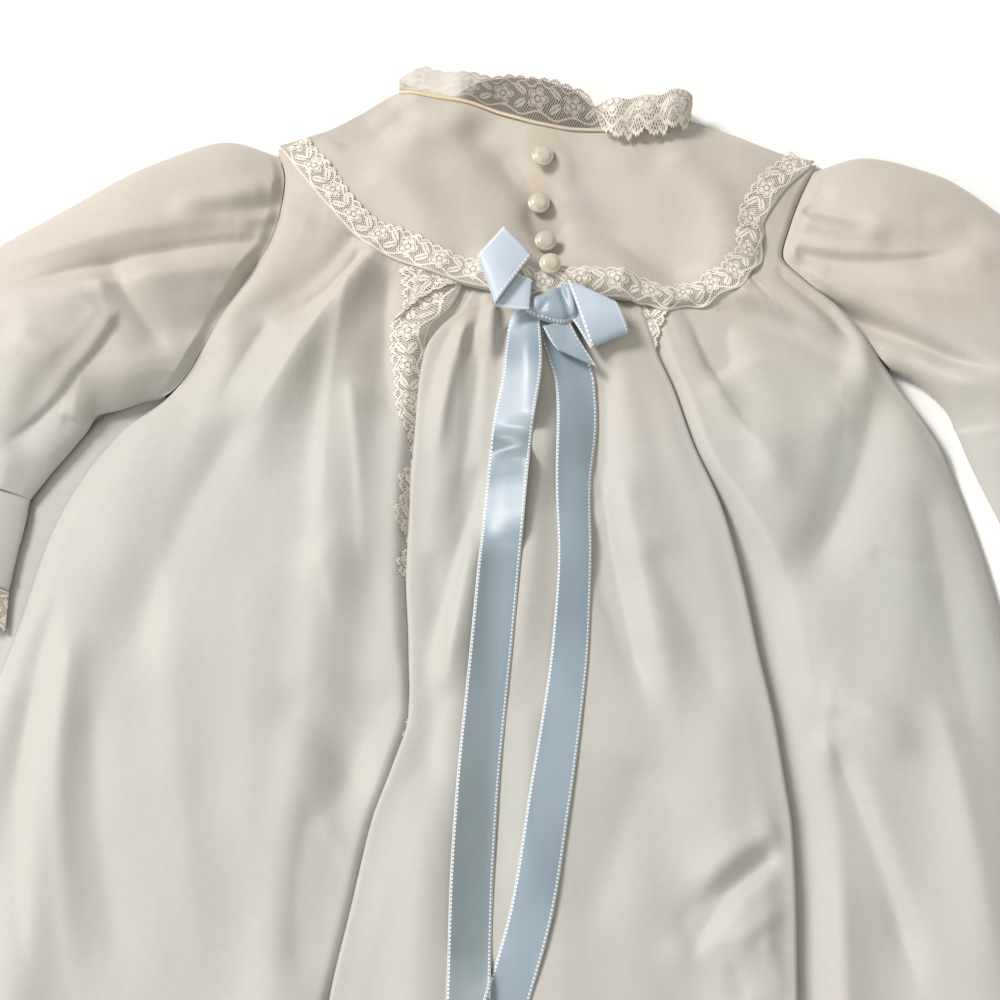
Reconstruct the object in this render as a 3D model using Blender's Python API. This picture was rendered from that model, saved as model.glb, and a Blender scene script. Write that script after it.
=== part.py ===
"""Christening gown lying flat on its back, front side up.

Each cut piece is a wall of cloth through rows worked out from the tables.
Lengths are in millimetres: X across the gown, Y from hem to neck, Z up.
"""

import bmesh
import bpy
import numpy as np
from mathutils import Vector
from mathutils.bvhtree import BVHTree

MM = 0.001
ORIGIN_X = 1.0
ORIGIN_Y = 15.9
CLOTH_WALL = 1.4
LACE_WALL = 1.0
RIBBON_WALL = 1.0
BACK_WALL = 1.5
GAP = 0.3
SEAM_GAP = 0.8
TUCK = 5.0
HEM_Y = -348.0
FOLD_RADIUS = 2.3
FOLD_UNDER = 9.0
MARGIN_UNDER = 23.0
MARGIN_TOP = 3.5
LACE_WIDTH = 13.0
ROBING_WIDTH = 14.0
NECK_LACE_WIDTH = 18.0
CUFF_LENGTH = 38.0
CUFF_LACE_LENGTH = 16.0
BUTTON_DIAMETER = 9.0
BUTTON_HEIGHT = 3.6
SHOULDER_TOP = 4.4
FOLD_DEPTH = 1.25


def table(names, *rows):
    """Columns of a table by their names."""
    values = np.array(rows, float)
    return {name: values[:, i] for i, name in enumerate(names.split())}


OUTLINE = table(
    "y left right edge crown",
    (334, -106, 116, 4.6, 9.4),
    (318, -102, 109, 6.0, 9.6),
    (303, -103, 104, 7.4, 9.8),
    (290, -106, 101, 8.0, 10.1),
    (279, -111, 110, 8.4, 10.4),
    (268, -117, 123, 8.4, 10.6),
    (256, -124, 133, 8.0, 10.8),
    (243, -130, 141, 7.0, 11.0),
    (231, -136, 149, 5.6, 11.0),
    (220, -144, 157, 4.8, 11.0),
    (206, -161, 165, 4.0, 11.0),
    (190, -173, 171, 3.7, 11.0),
    (160, -186, 180, 3.6, 11.0),
    (130, -193, 187, 3.6, 11.0),
    (46, -215, 208, 3.6, 10.6),
    (-60, -232, 228, 3.6, 10.0),
    (-200, -248, 247, 3.6, 9.4),
    (-348, -260, 262, 3.6, 8.4),
)
YOKE_SEAM = table(
    "x y",
    (-103, 334),
    (-92, 318),
    (-80, 303),
    (-66, 289),
    (-46, 279),
    (-22, 271),
    (5, 266),
    (30, 267),
    (55, 267),
    (74, 272),
    (87, 284),
    (92, 303),
    (101, 320),
    (113, 334),
)
YOKE_TOP = table(
    "x y",
    (-105, 336),
    (-97, 339),
    (-85, 344),
    (-71, 353),
    (-57, 361),
    (-44, 358),
    (-27, 355),
    (-11, 350),
    (3, 346),
    (16, 344),
    (32, 344),
    (46, 346),
    (64, 352),
    (80, 347),
    (94, 341),
    (107, 337),
    (115, 336),
)
BACK_NECK = table("x y", (-57, 361), (-30, 355), (3, 352), (36, 352), (64, 352))
CENTRE = table(
    "y left right",
    (272, -24, 44),
    (262, -28, 46),
    (254, -36, 48),
    (244, -42, 51),
    (230, -44, 57),
    (206, -45, 65),
    (180, -46, 76),
    (150, -46, 84),
    (120, -44, 90),
    (92, -43, 96),
    (72, -48, 99),
    (50, -55, 102),
    (18, -61, 103),
    (-19, -68, 103),
    (-100, -78, 104),
    (-200, -88, 108),
    (-348, -98, 114),
)
ROBING_LEFT = table(
    "y x width",
    (279, -54, 27),
    (268, -53, 24),
    (256, -53, 18),
    (244, -52, 14),
    (216, -50, 14),
    (197, -47, 14),
    (182, -51, 14),
    (168, -50, 14),
    (153, -48, 14),
    (140, -45, 14),
    (110, -41, 14),
    (60, -50, 14),
    (-20, -65, 14),
    (-346, -95, 14),
)
ROBING_RIGHT = table(
    "y x width",
    (270, 56, 14),
    (264, 55, 14),
    (254, 52, 14),
    (240, 51, 14),
    (180, 74, 14),
    (90, 94, 14),
    (0, 101, 14),
    (-346, 111, 14),
)
FOLD_NAMES = "x0 y0 x1 y1 x2 y2 height0 height1 width0 width1 lean"
SIDE_FOLDS = table(
    FOLD_NAMES,
    (-72, 293, -85, 274, -112, 255, -3.0, -2.0, 6, 9, 0.2),
    (-68, 286, -86, 257, -107, 224, 3.0, 2.5, 7, 11, 0.0),
    (-60, 282, -76, 235, -92, 190, -2.0, -1.5, 7, 12, 0.0),
    (-73, 270, -78, 210, -77, 150, 2.5, 2.5, 7, 10, 0.4),
    (-77, 150, -84, 20, -112, -348, 2.5, 5.0, 11, 20, 0.2),
    (-60, 240, -62, 120, -74, 0, -2.0, -2.0, 8, 12, 0.0),
    (-104, 300, -122, 240, -150, 150, 2.0, 2.0, 8, 14, 0.0),
    (-128, 235, -140, 190, -150, 120, -2.0, -1.5, 8, 13, 0.0),
    (-84, 91, -70, 78, -62, 66, -2.5, -2.0, 10, 8, 0.0),
    (-172, 110, -178, 30, -200, -348, 2.5, 4.5, 8, 18, 0.0),
    (-187, 90, -198, 0, -224, -348, -1.5, -3.0, 6, 13, 0.0),
    (-140, 60, -152, -120, -170, -348, 1.0, -3.0, 14, 17, 0.0),
    (-120, 60, -130, -120, -142, -348, -0.5, 4.5, 14, 18, 0.0),
    (-205, 40, -222, -120, -246, -348, 1.0, 3.0, 7, 12, 0.0),
    (67, 263, 85, 224, 91, 206, -2.8, -2.5, 7, 8, 0.0),
    (77, 228, 89, 211, 97, 194, 2.5, 2.5, 6, 9, 0.0),
    (81, 273, 107, 267, 131, 255, 3.0, 2.5, 6, 8, 0.0),
    (80, 262, 104, 255, 124, 244, -2.5, -2.5, 6, 7, 0.0),
    (133, 246, 131, 235, 124, 220, 2.5, 2.5, 6, 8, 0.0),
    (126, 222, 122, 191, 102, 150, -2.8, -2.2, 9, 13, 0.2),
    (150, 215, 150, 150, 140, 100, 1.5, 2.0, 10, 14, 0.0),
    (85, 156, 102, 124, 118, 98, -2.5, -2.5, 10, 10, 0.0),
    (112, 85, 126, 39, 144, -30, -2.5, -2.0, 10, 15, 0.0),
    (118, 106, 131, 96, 144, 86, 2.2, 1.6, 8, 9, 0.0),
    (112, 20, 118, -100, 134, -348, 1.0, 4.5, 11, 17, 0.0),
    (144, -30, 150, -150, 158, -348, -2.0, -3.0, 14, 17, 0.0),
    (170, 130, 172, 0, 190, -348, 1.5, 5.0, 14, 20, 0.0),
    (196, 60, 205, -100, 220, -348, -1.0, -3.0, 9, 14, 0.0),
    (205, 40, 224, -120, 246, -348, 1.0, 3.0, 7, 12, 0.0),
)
CENTRE_FOLDS = table(
    FOLD_NAMES,
    (-17, 268, -18, 245, -27, 184, 2.2, 1.8, 5, 9, 0.0),
    (-8, 266, -12, 235, -18, 180, -2.2, -1.0, 5, 9, 0.0),
    (1, 266, -1, 230, -5, 140, 1.8, 1.0, 6, 13, 0.0),
    (17, 262, 24, 225, 32, 150, -2.2, -1.2, 6, 12, 0.0),
    (30, 262, 40, 215, 56, 130, 2.0, 2.0, 6, 13, 0.0),
    (-36, 150, -37, 115, -34, 60, -1.8, -1.5, 6, 8, 0.0),
    (-22, 152, -28, 110, -44, -348, 2.4, 4.0, 7, 16, 0.0),
    (40, 140, 60, 20, 62, -348, -1.0, -3.0, 10, 15, 0.0),
    (-8, 60, -14, -120, -16, -348, -0.5, -3.0, 12, 14, 0.0),
    (12, 60, 16, -120, 22, -348, 0.5, 4.0, 14, 17, 0.0),
    (60, 3, 78, 15, 93, 30, 1.8, 1.2, 7, 7, 0.0),
    (76, 100, 84, -60, 92, -348, 1.0, 3.5, 8, 14, 0.0),
)
YOKE_FOLDS = table(
    FOLD_NAMES,
    (-19, 342, -4, 322, 4, 300, -1.4, -1.6, 8, 8, 0.0),
    (6, 304, 36, 296, 56, 281, -1.6, -1.8, 8, 9, 0.0),
    (-80, 346, -70, 343, -56, 340, -1.2, -0.8, 6, 6, 0.0),
    (-16, 278, 8, 274, 34, 274, 1.8, 1.8, 7, 7, 0.0),
    (-60, 318, -42, 302, -22, 294, 1.4, 0.8, 10, 10, 0.0),
    (60, 330, 74, 312, 78, 292, 1.4, 1.0, 9, 10, 0.0),
)
SLEEVE_NAMES = "top_x top_y low_x low_y follow height"
LEFT_SLEEVE = table(
    SLEEVE_NAMES,
    (-107, 331, -145.5, 221, 1.0, 12),
    (-128, 337, -153, 219, 0.7, 17),
    (-157, 326, -163, 215, 0.4, 21),
    (-192, 303, -170, 213, 0.15, 22),
    (-225, 278, -174, 206, 0.0, 20),
    (-245, 246, -180, 197, 0.0, 16),
    (-251, 214, -187, 187, 0.0, 12),
    (-243, 186, -194, 176, 0.0, 9),
)
RIGHT_SLEEVE = table(
    SLEEVE_NAMES,
    (117, 331, 144.5, 242, 1.0, 12),
    (138, 338, 153, 238, 0.7, 17),
    (166, 331, 160, 232, 0.4, 21),
    (198, 308, 166, 224, 0.15, 22),
    (228, 281, 170, 214, 0.0, 20),
    (245, 251, 174, 203, 0.0, 16),
    (248, 219, 179, 191, 0.0, 12),
    (235, 188, 185, 178, 0.0, 9),
)
LEFT_SLEEVE_FOLDS = table(
    FOLD_NAMES,
    (-110, 298, -143, 286, -213, 268, -2.0, -5.0, 7, 10, 0.0),
    (-116, 280, -146, 270, -200, 254, 2.0, 3.0, 7, 10, 0.0),
    (-168, 272, -156, 258, -148, 243, -2.2, -2.0, 7, 7, 0.0),
    (-150, 228, -172, 224, -200, 236, 3.0, 4.0, 8, 8, 0.0),
    (-171, 252, -187, 226, -200, 200, -3.0, -3.5, 7, 7, 0.0),
    (-106, 316, -122, 307, -140, 300, 1.8, 1.6, 6, 7, 0.0),
    (-125, 255, -140, 250, -160, 246, -1.8, -1.2, 6, 8, 0.0),
    (-212, 240, -214, 214, -216, 182, -1.8, -1.6, 8, 7, 0.0),
    (-228, 236, -230, 212, -230, 186, 1.4, 1.2, 7, 6, 0.0),
    (-196, 205, -202, 194, -204, 182, 1.2, 1.2, 7, 6, 0.0),
    (-107, 290, -124, 284, -136, 281, 1.4, 1.0, 5, 7, 0.0),
)
RIGHT_SLEEVE_FOLDS = table(
    FOLD_NAMES,
    (108, 316, 136, 308, 156, 305, -2.2, -2.0, 6, 7, 0.0),
    (104, 298, 141, 291, 174, 297, -2.5, -3.0, 6, 8, 0.0),
    (106, 283, 138, 273, 188, 247, -2.5, -3.5, 6, 8, 0.0),
    (106, 290, 140, 283, 176, 284, 1.8, 2.2, 6, 8, 0.0),
    (134, 262, 160, 250, 186, 236, -2.0, -2.5, 7, 7, 0.0),
    (146, 246, 166, 237, 196, 236, 3.0, 4.0, 8, 8, 0.0),
    (204, 244, 207, 214, 209, 184, -1.8, -1.6, 8, 7, 0.0),
    (222, 240, 224, 214, 223, 186, 1.4, 1.2, 7, 6, 0.0),
    (192, 206, 196, 196, 198, 184, 1.2, 1.2, 7, 6, 0.0),
    (106, 306, 122, 300, 136, 299, 1.4, 1.0, 5, 7, 0.0),
)
TAIL_NAMES = "y x half rise"
LEFT_TAIL = table(
    TAIL_NAMES,
    (264, 0, 5.0, 0.6),
    (252, -3, 6.5, 0.3),
    (238, -3, 7.5, 0),
    (212, -6, 8, 0),
    (187, -8, 8, 0),
    (153, -10, 8, 0),
    (121, -12, 8, 0),
    (58, -16, 8, 0),
    (20, -17, 8, 0),
    (-17, -17, 8, 0),
    (-52, -15, 8, 0),
    (-92, -9, 8, 0),
)
RIGHT_TAIL = table(
    TAIL_NAMES,
    (261, 8, 4.5, 0.6),
    (250, 10, 6.0, 0.6),
    (242, 14, 7.5, 0.4),
    (230, 18, 8, 0),
    (213, 19, 8, 0),
    (188, 18, 7, 0),
    (154, 19, 6.5, 0),
    (122, 18, 7, 0),
    (90, 15, 7.5, 0),
    (58, 11, 8, 0),
    (20, 6, 8, 0),
    (-17, -3, 8, 0),
    (-52, -14, 8, 0),
    (-98, -30, 8, 0),
)
WING_NAMES = "ax ay bx by rise"
LEFT_WING = table(
    WING_NAMES,
    (-4, 268, -1, 258, 0.0),
    (-13, 275, -8, 257, 0.0),
    (-21, 279, -13, 258, 0.1),
    (-22.4, 279, -14.6, 258, 1.4),
    (-21, 280, -12.5, 260, 2.7),
    (-17, 285, -6.5, 269, 3.2),
    (-12, 291, 0, 278, 2.8),
)
RIGHT_WING = table(
    WING_NAMES,
    (14, 257, 17, 266, 0.0),
    (20, 250, 28, 261, 0.0),
    (23, 243.5, 36, 250, 0.1),
    (23, 242, 37, 248.5, 1.4),
    (22, 244, 36, 251, 2.7),
    (18, 256, 34, 256, 3.2),
    (13, 269, 31, 262, 2.8),
)
BUTTONS = table("x y", (3, 330), (2, 311), (5, 292), (7, 277.5))
KNOT = dict(x=7.0, y=261.0, half_x=8.5, half_y=8.0, height=5.0)

CLOTH = dict(colour=(0.72, 0.66, 0.56, 1.0), rough=0.55)
TRIM = dict(colour=(0.78, 0.70, 0.60, 1.0), rough=0.85)
SATIN = dict(colour=(0.42, 0.56, 0.68, 1.0), rough=0.35)
PEARL = dict(colour=(0.82, 0.77, 0.68, 1.0), rough=0.25)


def smooth_line(keys, values, at):
    """Value at each place on a smooth line through a table, without overshoot."""
    keys = np.asarray(keys, float)
    values = np.asarray(values, float)
    if keys[0] > keys[-1]:
        keys, values = keys[::-1], values[::-1]
    step = np.diff(keys)
    slope = np.diff(values) / step
    tangent = np.zeros_like(values)
    first, second = slope[:-1], slope[1:]
    same = first * second > 0
    early = 2 * step[1:] + step[:-1]
    late = step[1:] + 2 * step[:-1]
    safe = np.where(same, first, 1.0), np.where(same, second, 1.0)
    mean = (early + late) / (early / safe[0] + late / safe[1])
    tangent[1:-1] = np.where(same, mean, 0.0)
    tangent[0], tangent[-1] = slope[0], slope[-1]
    at = np.clip(np.asarray(at, float), keys[0], keys[-1])
    i = np.clip(np.searchsorted(keys, at) - 1, 0, len(step) - 1)
    t = (at - keys[i]) / step[i]
    rise = values[i + 1] - values[i]
    start, end = tangent[i] * step[i], tangent[i + 1] * step[i]
    cubic = t * t * (3 - 2 * t) * rise
    return values[i] + cubic + t * (1 - t) * ((1 - t) * start - t * end)


def ease(t):
    """Smooth step from 0 to 1."""
    t = np.clip(t, 0.0, 1.0)
    return t * t * (3 - 2 * t)


def along(line, fraction):
    """Point at a fraction of the length of a line given by columns x and y."""
    x, y = line["x"], line["y"]
    reach = np.concatenate([[0.0], np.cumsum(np.hypot(np.diff(x), np.diff(y)))])
    at = np.asarray(fraction, float) * reach[-1]
    return smooth_line(reach, x, at), smooth_line(reach, y, at)


def creases(folds, x, y):
    """Height that a table of folds adds at each point."""
    total = np.zeros(np.shape(x))
    t = np.linspace(0.0, 1.0, 13)
    count = len(folds["x0"])
    for n in range(count):
        fold = {name: column[n] for name, column in folds.items()}
        mid_x = 2 * fold["x1"] - (fold["x0"] + fold["x2"]) / 2
        mid_y = 2 * fold["y1"] - (fold["y0"] + fold["y2"]) / 2
        px = (1 - t) ** 2 * fold["x0"] + 2 * t * (1 - t) * mid_x + t**2 * fold["x2"]
        py = (1 - t) ** 2 * fold["y0"] + 2 * t * (1 - t) * mid_y + t**2 * fold["y2"]
        dx, dy = np.diff(px), np.diff(py)
        ox, oy = x[..., None] - px[:-1], y[..., None] - py[:-1]
        k = np.clip((ox * dx + oy * dy) / (dx**2 + dy**2), 0.0, 1.0)
        away = np.hypot(ox - k * dx, oy - k * dy)
        side = np.sign(dx * oy - dy * ox)
        place = (np.arange(12) + k) / 12
        width = fold["width0"] + (fold["width1"] - fold["width0"]) * place
        width = width * (1 + fold["lean"] * side)
        nearest = np.argmin(away, axis=-1)[..., None]
        away = np.take_along_axis(away, nearest, -1)[..., 0]
        width = np.take_along_axis(width, nearest, -1)[..., 0]
        place = np.take_along_axis(place, nearest, -1)[..., 0]
        height = fold["height0"] + (fold["height1"] - fold["height0"]) * place
        total += FOLD_DEPTH * height * np.exp(-((away / width) ** 2))
    return total


def outline(name, y):
    """Column of the gown's outline at a height up the gown."""
    return smooth_line(OUTLINE["y"], OUTLINE[name], y)


def body_height(x, y):
    """Top of the gown's front before its folds."""
    left, right = outline("left", y), outline("right", y)
    side = np.clip(np.abs(2 * (x - left) / (right - left) - 1), 0.0, 1.0)
    edge, crown = outline("edge", y), outline("crown", y)
    top = edge + (crown - edge) * (1 - side**10)
    shoulder = smooth_line(YOKE_TOP["x"], YOKE_TOP["y"], x)
    drop = np.exp(-((np.maximum(shoulder - y, 0.0) / 11.0) ** 2))
    drop = drop * ease((np.abs(x - 3) - 52) / 14)
    return top + (SHOULDER_TOP - top) * drop


def centre_edge(name, y):
    """Fold edge of the centre panel."""
    return smooth_line(CENTRE["y"], CENTRE[name], y)


def side_height(x, y):
    """Top of the side panels, which dip under the centre panel."""
    top = body_height(x, y) + creases(SIDE_FOLDS, x, y)
    outside = np.maximum(centre_edge("left", y) - x, x - centre_edge("right", y))
    top = MARGIN_TOP + (top - MARGIN_TOP) * ease((outside - 1) / 14)
    return np.maximum(top, MARGIN_TOP)


def yoke_height(x, y):
    """Top of the yoke's front."""
    low = np.clip((y - 262) / 40, 0.0, 1.0)
    top = body_height(x, y) + 1.2 - 0.8 * low + creases(YOKE_FOLDS, x, y)
    return np.maximum(top, SHOULDER_TOP)


def wall_mesh(name, middle, wall, look, ring=False, on_floor=False):
    """Closed wall of one thickness through a grid of middle points."""
    rows, columns = middle.shape[:2]
    normal = grid_normals(middle, ring)
    first = middle + normal * wall / 2
    second = middle - normal * wall / 2
    points = np.concatenate([first.reshape(-1, 3), second.reshape(-1, 3)])
    if on_floor:
        points[points[:, 2] < 0.25, 2] = 0.0
    half = rows * columns

    def at(i, j, layer):
        return layer * half + i * columns + j % columns

    faces = []
    for i in range(rows - 1):
        for j in range(columns if ring else columns - 1):
            for layer in (0, 1):
                a, b = at(i, j, layer), at(i, j + 1, layer)
                c, d = at(i + 1, j + 1, layer), at(i + 1, j, layer)
                faces += [(a, b, c), (a, c, d)]
    for i in (0, rows - 1):
        for j in range(columns if ring else columns - 1):
            a, b = at(i, j, 0), at(i, j + 1, 0)
            c, d = at(i, j + 1, 1), at(i, j, 1)
            faces += [(a, b, c), (a, c, d)]
    if not ring:
        for j in (0, columns - 1):
            for i in range(rows - 1):
                a, b = at(i, j, 0), at(i + 1, j, 0)
                c, d = at(i + 1, j, 1), at(i, j, 1)
                faces += [(a, b, c), (a, c, d)]
    return mesh_object(name, points, faces, look)


def mesh_object(name, points, faces, look):
    """Object of a closed mesh, its faces turned outwards."""
    points = (np.asarray(points) - (ORIGIN_X, ORIGIN_Y, 0.0)) * MM
    mesh = bpy.data.meshes.new(name)
    mesh.from_pydata([tuple(p) for p in points], [], faces)
    work = bmesh.new()
    work.from_mesh(mesh)
    bmesh.ops.recalc_face_normals(work, faces=work.faces)
    if work.calc_volume(signed=True) < 0:
        bmesh.ops.reverse_faces(work, faces=work.faces)
    work.to_mesh(mesh)
    work.free()
    mesh.shade_smooth()
    material = bpy.data.materials.new(name)
    material.use_nodes = True
    shader = material.node_tree.nodes["Principled BSDF"]
    shader.inputs["Base Color"].default_value = look["colour"]
    shader.inputs["Roughness"].default_value = look["rough"]
    mesh.materials.append(material)
    piece = bpy.data.objects.new(name, mesh)
    bpy.context.scene.collection.objects.link(piece)
    return piece


def tree_of(piece):
    """Search tree of a piece's faces, in millimetres of the gown's own frame."""
    vertices = [
        Vector((v.co.x / MM + ORIGIN_X, v.co.y / MM + ORIGIN_Y, v.co.z / MM))
        for v in piece.data.vertices
    ]
    return BVHTree.FromPolygons(vertices, [tuple(p.vertices) for p in piece.data.polygons])


def rest(trees, x, y, floor=BACK_WALL):
    """Top of what lies under each point."""
    x, y = np.broadcast_arrays(np.asarray(x, float), np.asarray(y, float))
    top = np.full(x.shape, float(floor))
    down = Vector((0.0, 0.0, -1.0))
    for index in np.ndindex(x.shape):
        start = Vector((x[index], y[index], 200.0))
        for tree in trees:
            hit = tree.ray_cast(start, down)[0]
            if hit is not None and hit.z > top[index]:
                top[index] = hit.z
    return top


def grid_normals(middle, ring=False):
    """Unit normals of a grid of points."""
    down = np.gradient(middle, axis=0)
    if ring:
        across = (np.roll(middle, -1, axis=1) - np.roll(middle, 1, axis=1)) / 2
    else:
        across = np.gradient(middle, axis=1)
    normal = np.cross(across, down)
    return normal / np.linalg.norm(normal, axis=-1, keepdims=True)


def cell_point(skin, down, across):
    """Point of every cell, each of which is split into two triangles."""
    first, last = skin[:-1, :-1], skin[1:, 1:]
    if across >= down:
        turn = skin[:-1, 1:]
        return first + across * (turn - first) + down * (last - turn)
    turn = skin[1:, :-1]
    return first + down * (turn - first) + across * (last - turn)


def settle(grid, trees, wall, floor=BACK_WALL, lowest_row=0):
    """Raise a grid's points until every cell of its wall clears what is under."""
    grid = grid.copy()
    steps = np.linspace(0.0, 1.0, 8)
    for _ in range(4):
        lack = np.zeros((grid.shape[0] - 1, grid.shape[1] - 1))
        offset = grid_normals(grid) * wall / 2
        for skin in (grid + offset, grid - offset):
            for a in steps:
                for b in steps:
                    place = cell_point(skin, a, b)
                    need = rest(trees, place[..., 0], place[..., 1], floor) + GAP
                    lack = np.maximum(lack, need - place[..., 2])
        raised = np.zeros(grid.shape[:2])
        for di in (0, 1):
            for dj in (0, 1):
                part = raised[di : di + lack.shape[0], dj : dj + lack.shape[1]]
                np.maximum(part, lack, out=part)
        raised[:lowest_row] = 0.0
        if raised.max() < 0.02:
            break
        grid[..., 2] += raised
    return grid


def seam_point(fraction, inside=0.0):
    """Point of the yoke seam, moved into the yoke by a distance."""
    x, y = along(YOKE_SEAM, fraction)
    ahead = along(YOKE_SEAM, np.minimum(fraction + 0.01, 1.0))
    behind = along(YOKE_SEAM, np.maximum(fraction - 0.01, 0.0))
    dx, dy = ahead[0] - behind[0], ahead[1] - behind[1]
    length = np.hypot(dx, dy)
    return x - dy / length * inside, y + dx / length * inside


def spread_rows(rows):
    """Places of the skirt's rows, close together beside the armholes."""
    t = np.linspace(0.0, 1.0, rows)[:, None]
    return smooth_line((0.0, 0.42, 0.6, 1.0), (0.0, 0.17, 0.36, 1.0), t)


def side_panel(name, side, rows=27, columns=17):
    """Side panel of the skirt, from under the centre panel to the side seam."""
    edge = "left" if side < 0 else "right"
    across = np.linspace(0.0, 1.0, columns)[None, :]
    down = spread_rows(rows)
    top_inner = centre_edge(edge, 271.0) - side * MARGIN_UNDER
    seam_x, _ = along(YOKE_SEAM, np.linspace(0, 1, 400))
    start = np.interp(top_inner, seam_x, np.linspace(0, 1, 400))
    end = 0.0 if side < 0 else 1.0
    fraction = start + (end - start) * across
    tuck = TUCK * ease((1 - across) / 0.16)
    top_x, top_y = seam_point(fraction, tuck)
    out_x = outline(edge, top_y) - side * SEAM_GAP / 2
    top_x = np.where(across > 0.999, out_x, top_x)
    y = top_y + (HEM_Y - top_y) * down

    def low_x(at_y):
        inner = centre_edge(edge, np.minimum(at_y, 266.0)) - side * MARGIN_UNDER
        outer = outline(edge, at_y) - side * SEAM_GAP / 2
        return inner + across * (outer - inner)

    x = low_x(y) + (top_x - low_x(top_y)) * (1 - ease(down / 0.3))
    z = side_height(x, y) - CLOTH_WALL / 2
    return wall_mesh(name, np.stack([x, y, z + 0 * x], -1), CLOTH_WALL, CLOTH)


def centre_panel(name, under, rows=25, columns=14):
    """Centre panel, whose long edges fold under over the side panels."""
    down = np.linspace(0.0, 1.0, rows)[:, None] ** 1.2
    y = 272.0 + (HEM_Y - 272.0) * down
    left, right = centre_edge("left", y), centre_edge("right", y)
    across = np.linspace(0.0, 1.0, columns)[None, :]
    inner_left, inner_right = left + FOLD_RADIUS, right - FOLD_RADIUS
    x = inner_left + (inner_right - inner_left) * across
    yy = np.broadcast_to(y, x.shape)
    low = MARGIN_TOP + GAP + LACE_WALL + GAP + 0.6 + CLOTH_WALL / 2
    high = low + 2 * FOLD_RADIUS
    inside = np.minimum(x - inner_left, inner_right - x)
    fade = ease(inside / 12.0)
    z = high + (creases(CENTRE_FOLDS, x, yy) + 0.6) * fade
    z = np.maximum(z, low + CLOTH_WALL + GAP)
    points = [np.stack([x, yy, z], -1)]
    for turn, (edge, way, far) in enumerate(((left, -1, inner_left), (right, 1, inner_right))):
        parts = []
        for angle in (45.0, 90.0, 135.0, 180.0):
            a = np.radians(angle)
            px = far + way * FOLD_RADIUS * np.sin(a)
            pz = (high + low) / 2 + FOLD_RADIUS * np.cos(a)
            parts.append(np.stack([px, y, pz + 0 * y], -1))
        parts.append(np.stack([far - way * FOLD_UNDER, y, low + 0 * y], -1))
        if turn == 0:
            parts.reverse()
            points = parts + points
        else:
            points = points + parts
    grid = np.concatenate(points, axis=1)
    return wall_mesh(name, settle(grid, under, CLOTH_WALL), CLOTH_WALL, CLOTH)


def yoke_front(name, under, columns=25, rows=9):
    """Front yoke, its lower edge lying over the gathered skirt."""
    across = np.linspace(0.0, 1.0, columns)[None, :]
    down = np.linspace(0.0, 1.0, rows)[:, None]
    top_x, top_y = along(YOKE_TOP, across)
    low_x, low_y = seam_point(across)
    x = top_x + (low_x - top_x) * down
    y = top_y + (low_y - top_y) * down
    z = yoke_height(x, y) - CLOTH_WALL / 2
    grid = settle(np.stack([x, y, z], -1), under, CLOTH_WALL)
    return wall_mesh(name, grid, CLOTH_WALL, CLOTH)


def flat_piece(name, boundary_low, boundary_high, rows):
    """Back piece lying flat on the surface, between two lines."""
    t = np.linspace(0.0, 1.0, rows)[:, None]
    x = boundary_high[0] + (boundary_low[0] - boundary_high[0]) * t
    y = boundary_high[1] + (boundary_low[1] - boundary_high[1]) * t
    z = np.full(x.shape, BACK_WALL / 2)
    return wall_mesh(name, np.stack([x, y, z], -1), BACK_WALL, CLOTH)


def back_yoke(name, columns=25):
    """Back yoke between the back neckline and the back yoke seam."""
    across = np.linspace(0.0, 1.0, columns)[None, :]
    high_x, high_y = along(YOKE_TOP, across)
    inside = (high_x > -58) & (high_x < 65)
    neck = smooth_line(BACK_NECK["x"], BACK_NECK["y"], high_x)
    high_y = np.where(inside, neck, high_y)
    low_x, low_y = seam_point(across, SEAM_GAP / 2)
    return flat_piece(name, (low_x, low_y), (high_x, high_y), 2)


def back_skirt(name, rows=27, columns=25):
    """Back of the skirt, flat on the surface, the same width as the front."""
    across = np.linspace(0.0, 1.0, columns)[None, :]
    down = spread_rows(rows)
    top_x, top_y = seam_point(across, -SEAM_GAP / 2)
    left_x = outline("left", top_y) + SEAM_GAP / 2
    right_x = outline("right", top_y) - SEAM_GAP / 2
    top_x = np.where(across < 0.001, left_x, np.where(across > 0.999, right_x, top_x))
    y = top_y + (HEM_Y - top_y) * down

    def low_x(at_y):
        left = outline("left", at_y) + SEAM_GAP / 2
        right = outline("right", at_y) - SEAM_GAP / 2
        return left + across * (right - left)

    x = low_x(y) + (top_x - low_x(top_y)) * (1 - ease(down / 0.3))
    z = np.full(x.shape, BACK_WALL / 2)
    return wall_mesh(name, np.stack([x, y, z], -1), BACK_WALL, CLOTH)


def tube_section(width, height, top_count, low_count, wall):
    """Place across, 0 to 1, and height of a flattened tube's middle line."""
    t = (1 - np.cos(np.linspace(0.0, np.pi, top_count + 2)[1:-1])) / 2
    edge = min(0.42 * height, 4.0)
    top = edge + (height - wall / 2 - edge) * (1 - np.abs(2 * t - 1) ** 2.6) ** 0.75
    turn = wall / 2 + 1.4
    low = np.linspace(1 - 4.5 / width, 4.5 / width, low_count)
    place = np.concatenate([[0.0], t, [1.0, 1 - 1.3 / width], low, [1.3 / width]])
    rise = np.concatenate(
        [[edge], top, [edge, turn * 0.75], np.full(low_count, wall / 2), [turn * 0.75]]
    )
    upper = np.concatenate([[0.0], np.ones(top_count), np.zeros(3 + low_count)])
    return place, rise, upper


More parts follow.
